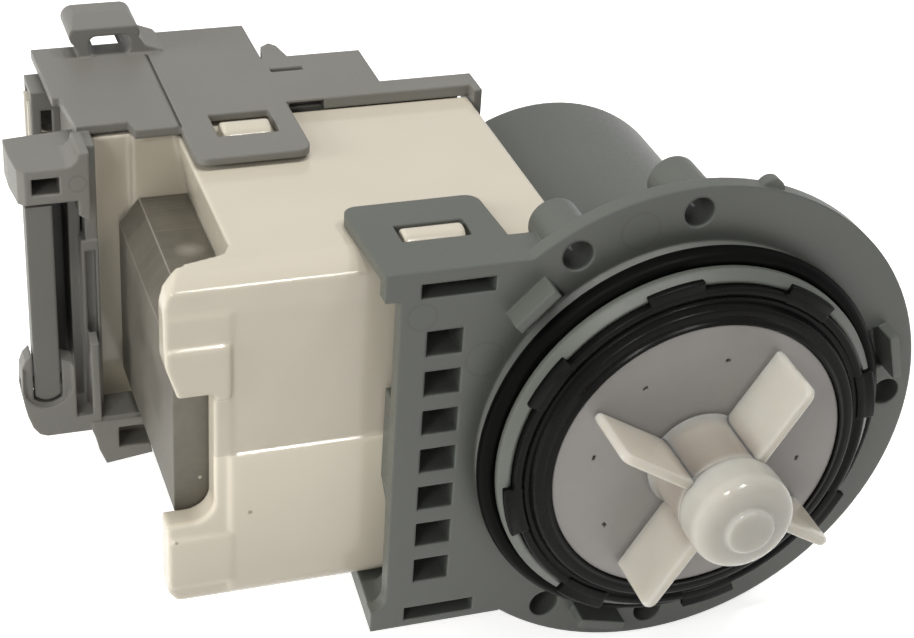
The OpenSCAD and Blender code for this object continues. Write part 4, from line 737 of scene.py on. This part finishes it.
# %% Ribs in the screw holes
SCREW_CIRCLE, RIB_TURN, RIB_FRONT, RIB_BACK = 36, 46, 0.15, 8
rib_outline = [(-2.45, -0.18), (-1.45, -0.16), (-1.3, 0), (-1.45, 0.16), (-2.45, 0.18)]
ribs = bmesh.new()
for angle in (90, 120):
    rib = plate(rib_outline, RIB_FRONT, RIB_BACK)
    rib.transform(turn_y(RIB_TURN, 4))
    hole = Vector((math.cos(math.radians(angle)), 0, math.sin(math.radians(angle))))
    rib.transform(Matrix.Translation(hole * SCREW_CIRCLE * MM))
    ribs.from_mesh(meshed("rib", rib))
collect("ribs", meshed("ribs", ribs), housing_grey, "housing")

# %% [markdown]
# ## Windings
# Each bobbin carries many turns of enamelled copper wire. One turn is a rounded rectangle with a
# round section; the tree sets it along the leg, a wire's thickness apart, over a solid core. Only
# the outer layer is made of wires, because nobody sees the layers under it.

# %% Windings
WIRE_MM = 0.42


def winding(name, node):
    low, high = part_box(node)
    wire = WIRE_MM * MM
    turns = int((high.x - low.x) / MM / WIRE_MM)
    coil = Repeat(name + "_turns", Turns=("int", turns), Wire=("float", wire),
                  Width=("float", high.y - low.y - wire), Height=("float", high.z - low.z - wire),
                  Bend=("float", 1.2 * MM))
    loop = coil.add("GeometryNodeCurvePrimitiveQuadrilateral", {
        "Width": coil.given("Width"), "Height": coil.given("Height")})
    loop = coil.add("GeometryNodeFilletCurve", {"Curve": loop, "Radius": coil.given("Bend")})
    half = coil.add("ShaderNodeMath", {0: coil.given("Wire"), 1: 0.5}, operation="MULTIPLY")
    section = coil.add("GeometryNodeCurvePrimitiveCircle", {"Resolution": 6, "Radius": half})
    tube = coil.add("GeometryNodeCurveToMesh", {"Curve": loop, "Profile Curve": section})
    upright = coil.add("GeometryNodeTransform", {"Geometry": tube, "Rotation": (
        math.pi / 2, 0, math.pi / 2)})
    step_along_x = coil.add("ShaderNodeCombineXYZ", {0: coil.given("Wire")})
    row = coil.add("GeometryNodeMeshLine", {"Count": coil.given("Turns"), "Offset": step_along_x})
    coil.end(coil.add("GeometryNodeInstanceOnPoints", {"Points": row, "Instance": upright}), copper)
    wires = coil.run(draft(name, bmesh.new()), name)
    middle = (low + high) / 2
    wires.transform(Matrix.Translation((low.x + wire / 2, middle.y, middle.z)))
    # The layers under the outer one: the solid winding, made a little smaller round its middle.
    both = bmesh.new()
    both.from_mesh(nodes[node].data)
    for v in both.verts:
        for axis in "yz":
            reach = getattr(high - low, axis) / 2
            off = getattr(v.co, axis) - getattr(middle, axis)
            if abs(off) > reach - 0.01 * MM:
                setattr(v.co, axis, getattr(v.co, axis) - math.copysign(wire / 2, off))
    both.from_mesh(wires)
    collect(name, meshed(name, both), copper, "housing", node, slot="copper_wire")


winding("winding_upper", "coil_upper")
winding("winding_lower", "coil_lower")

# %% [markdown]
# ## Floor, light and camera
# The pump lies on a pale floor in a white room. The three lamps overhead, the large one at the
# left and the one in front only fill: they light the colours and leave no highlight. Two small
# lamps in front do the reverse, and draw the thin bright lines on the glossy pieces. The floor
# glows a little for the camera and in reflections, not for light that bounces off it.

# %% Floor
FLOOR_REACH, FLOOR_DROP = 3.0, 0.5 * MM
floor_z = cad_low.z - FLOOR_DROP
floor_mesh = bpy.data.meshes.new("floor")
corners = [(x * FLOOR_REACH, y * FLOOR_REACH, floor_z)
           for x, y in ((-1, -1), (1, -1), (1, 1), (-1, 1))]
floor_mesh.from_pydata(corners, [], [(0, 1, 2, 3)])
floor = bpy.data.objects.new("floor", floor_mesh)
bpy.context.collection.objects.link(floor)
pale = Finish("pale_floor", Roughness=0.9)
SEEN_RAYS = ("Is Camera Ray", "Is Glossy Ray", "Is Transmission Ray")
camera_ray, glossy_ray, through_ray = (pale.node("LightPath", out=name) for name in SEEN_RAYS)
seen = pale.node("Math", {0: camera_ray + glossy_ray + through_ray, 1: 1.0}, operation="MINIMUM")
uneven = pale.ramp(pale.noise(4, 2), (0, 0.99), (1, 1.01))
pale.put(Base_Color=pale.tint((0.86, 0.86, 0.85), uneven))
own = Value(pale, pale.shader.outputs[0])
glow = pale.node("Emission", {"Color": (1.0, 1.0, 1.0), "Strength": 0.7})
both = pale.node("AddShader", {0: own, 1: glow})
chosen = pale.node("MixShader", {0: seen, 1: own, 2: both})
pale.feed(pale.tree.nodes["Material Output"].inputs["Surface"], chosen)
floor_mesh.materials.append(pale.material)

# %% World: white where it is seen or mirrored, and a dimmer, warmer light for everything else
world = bpy.data.worlds.new("white_room")
bpy.context.scene.world = world
world.use_nodes = True
sky = world.node_tree
sky.nodes.clear()
rays = sky.nodes.new("ShaderNodeLightPath")
white, light = sky.nodes.new("ShaderNodeBackground"), sky.nodes.new("ShaderNodeBackground")
light.inputs["Color"].default_value = (1.0, 0.985, 0.96, 1)
light.inputs["Strength"].default_value = 0.21
blend = sky.nodes.new("ShaderNodeMixShader")
world_out = sky.nodes.new("ShaderNodeOutputWorld")
either = rays.outputs[SEEN_RAYS[0]]
for ray in SEEN_RAYS[1:]:
    larger = sky.nodes.new("ShaderNodeMath")
    larger.operation = "MAXIMUM"
    sky.links.new(either, larger.inputs[0])
    sky.links.new(rays.outputs[ray], larger.inputs[1])
    either = larger.outputs[0]
sky.links.new(either, blend.inputs[0])
sky.links.new(light.outputs[0], blend.inputs[1])
sky.links.new(white.outputs[0], blend.inputs[2])
sky.links.new(blend.outputs[0], world_out.inputs[0])
print(world.name, len(sky.nodes), "nodes")

# %% Lamps
LAMP_COLOUR = (1, 0.98, 0.95)
centre = (cad_low + cad_high) / 2


def lamp(name, place, size, power, shine=False, fill=True):
    """A round lamp that faces the pump; size in metres, power in watts."""
    data = bpy.data.lights.new(name, "AREA")
    data.shape, data.size, data.energy, data.color = "DISK", size, power, LAMP_COLOUR
    made = bpy.data.objects.new(name, data)
    made.location = place
    made.rotation_euler = (centre - Vector(place)).to_track_quat("-Z", "Y").to_euler()
    made.visible_glossy, made.visible_diffuse = shine, fill
    bpy.context.collection.objects.link(made)
    print(name, power, "watts")


for place in ((-0.16, -0.08, 0.84), (0.10, 0.02, 0.85), (0.36, -0.12, 0.78)):
    lamp("lamp_over", place, 0.13, 1.58)
lamp("lamp_left", (-0.98, -0.04, 0.24), 0.5, 5.6)
for place in ((-0.28, -0.60, 0.55), (0.12, -0.55, 0.62)):
    lamp("lamp_shine", place, 0.09, 2.0, shine=True, fill=False)
lamp("lamp_front", (-0.62, -0.62, 0.52), 0.25, 2.0)

# %% Camera, placed and turned as the photo's camera was
# The place is in metres. The camera starts looking straight down, and the three angles, in
# degrees, turn it about x, y and z in that order.
CAMERA_PLACE = Vector((-0.12286, -0.23531, 0.17745))
CAMERA_TILT, CAMERA_ROLL, CAMERA_TURN = 58.378, -3.275, -18.355
camera_angles = Euler([math.radians(a) for a in (CAMERA_TILT, CAMERA_ROLL, CAMERA_TURN)])
eye = bpy.data.cameras.new("camera")
eye.lens, eye.sensor_width = 83.15, 36.0
eye.clip_start = 0.01
camera = bpy.data.objects.new("camera", eye)
camera.matrix_world = Matrix.LocRotScale(CAMERA_PLACE, camera_angles, None)
bpy.context.collection.objects.link(camera)
bpy.context.scene.camera = camera
bpy.context.scene.view_settings.view_transform = "Standard"
print("camera at", [round(v, 3) for v in camera.matrix_world.translation], "lens", eye.lens)
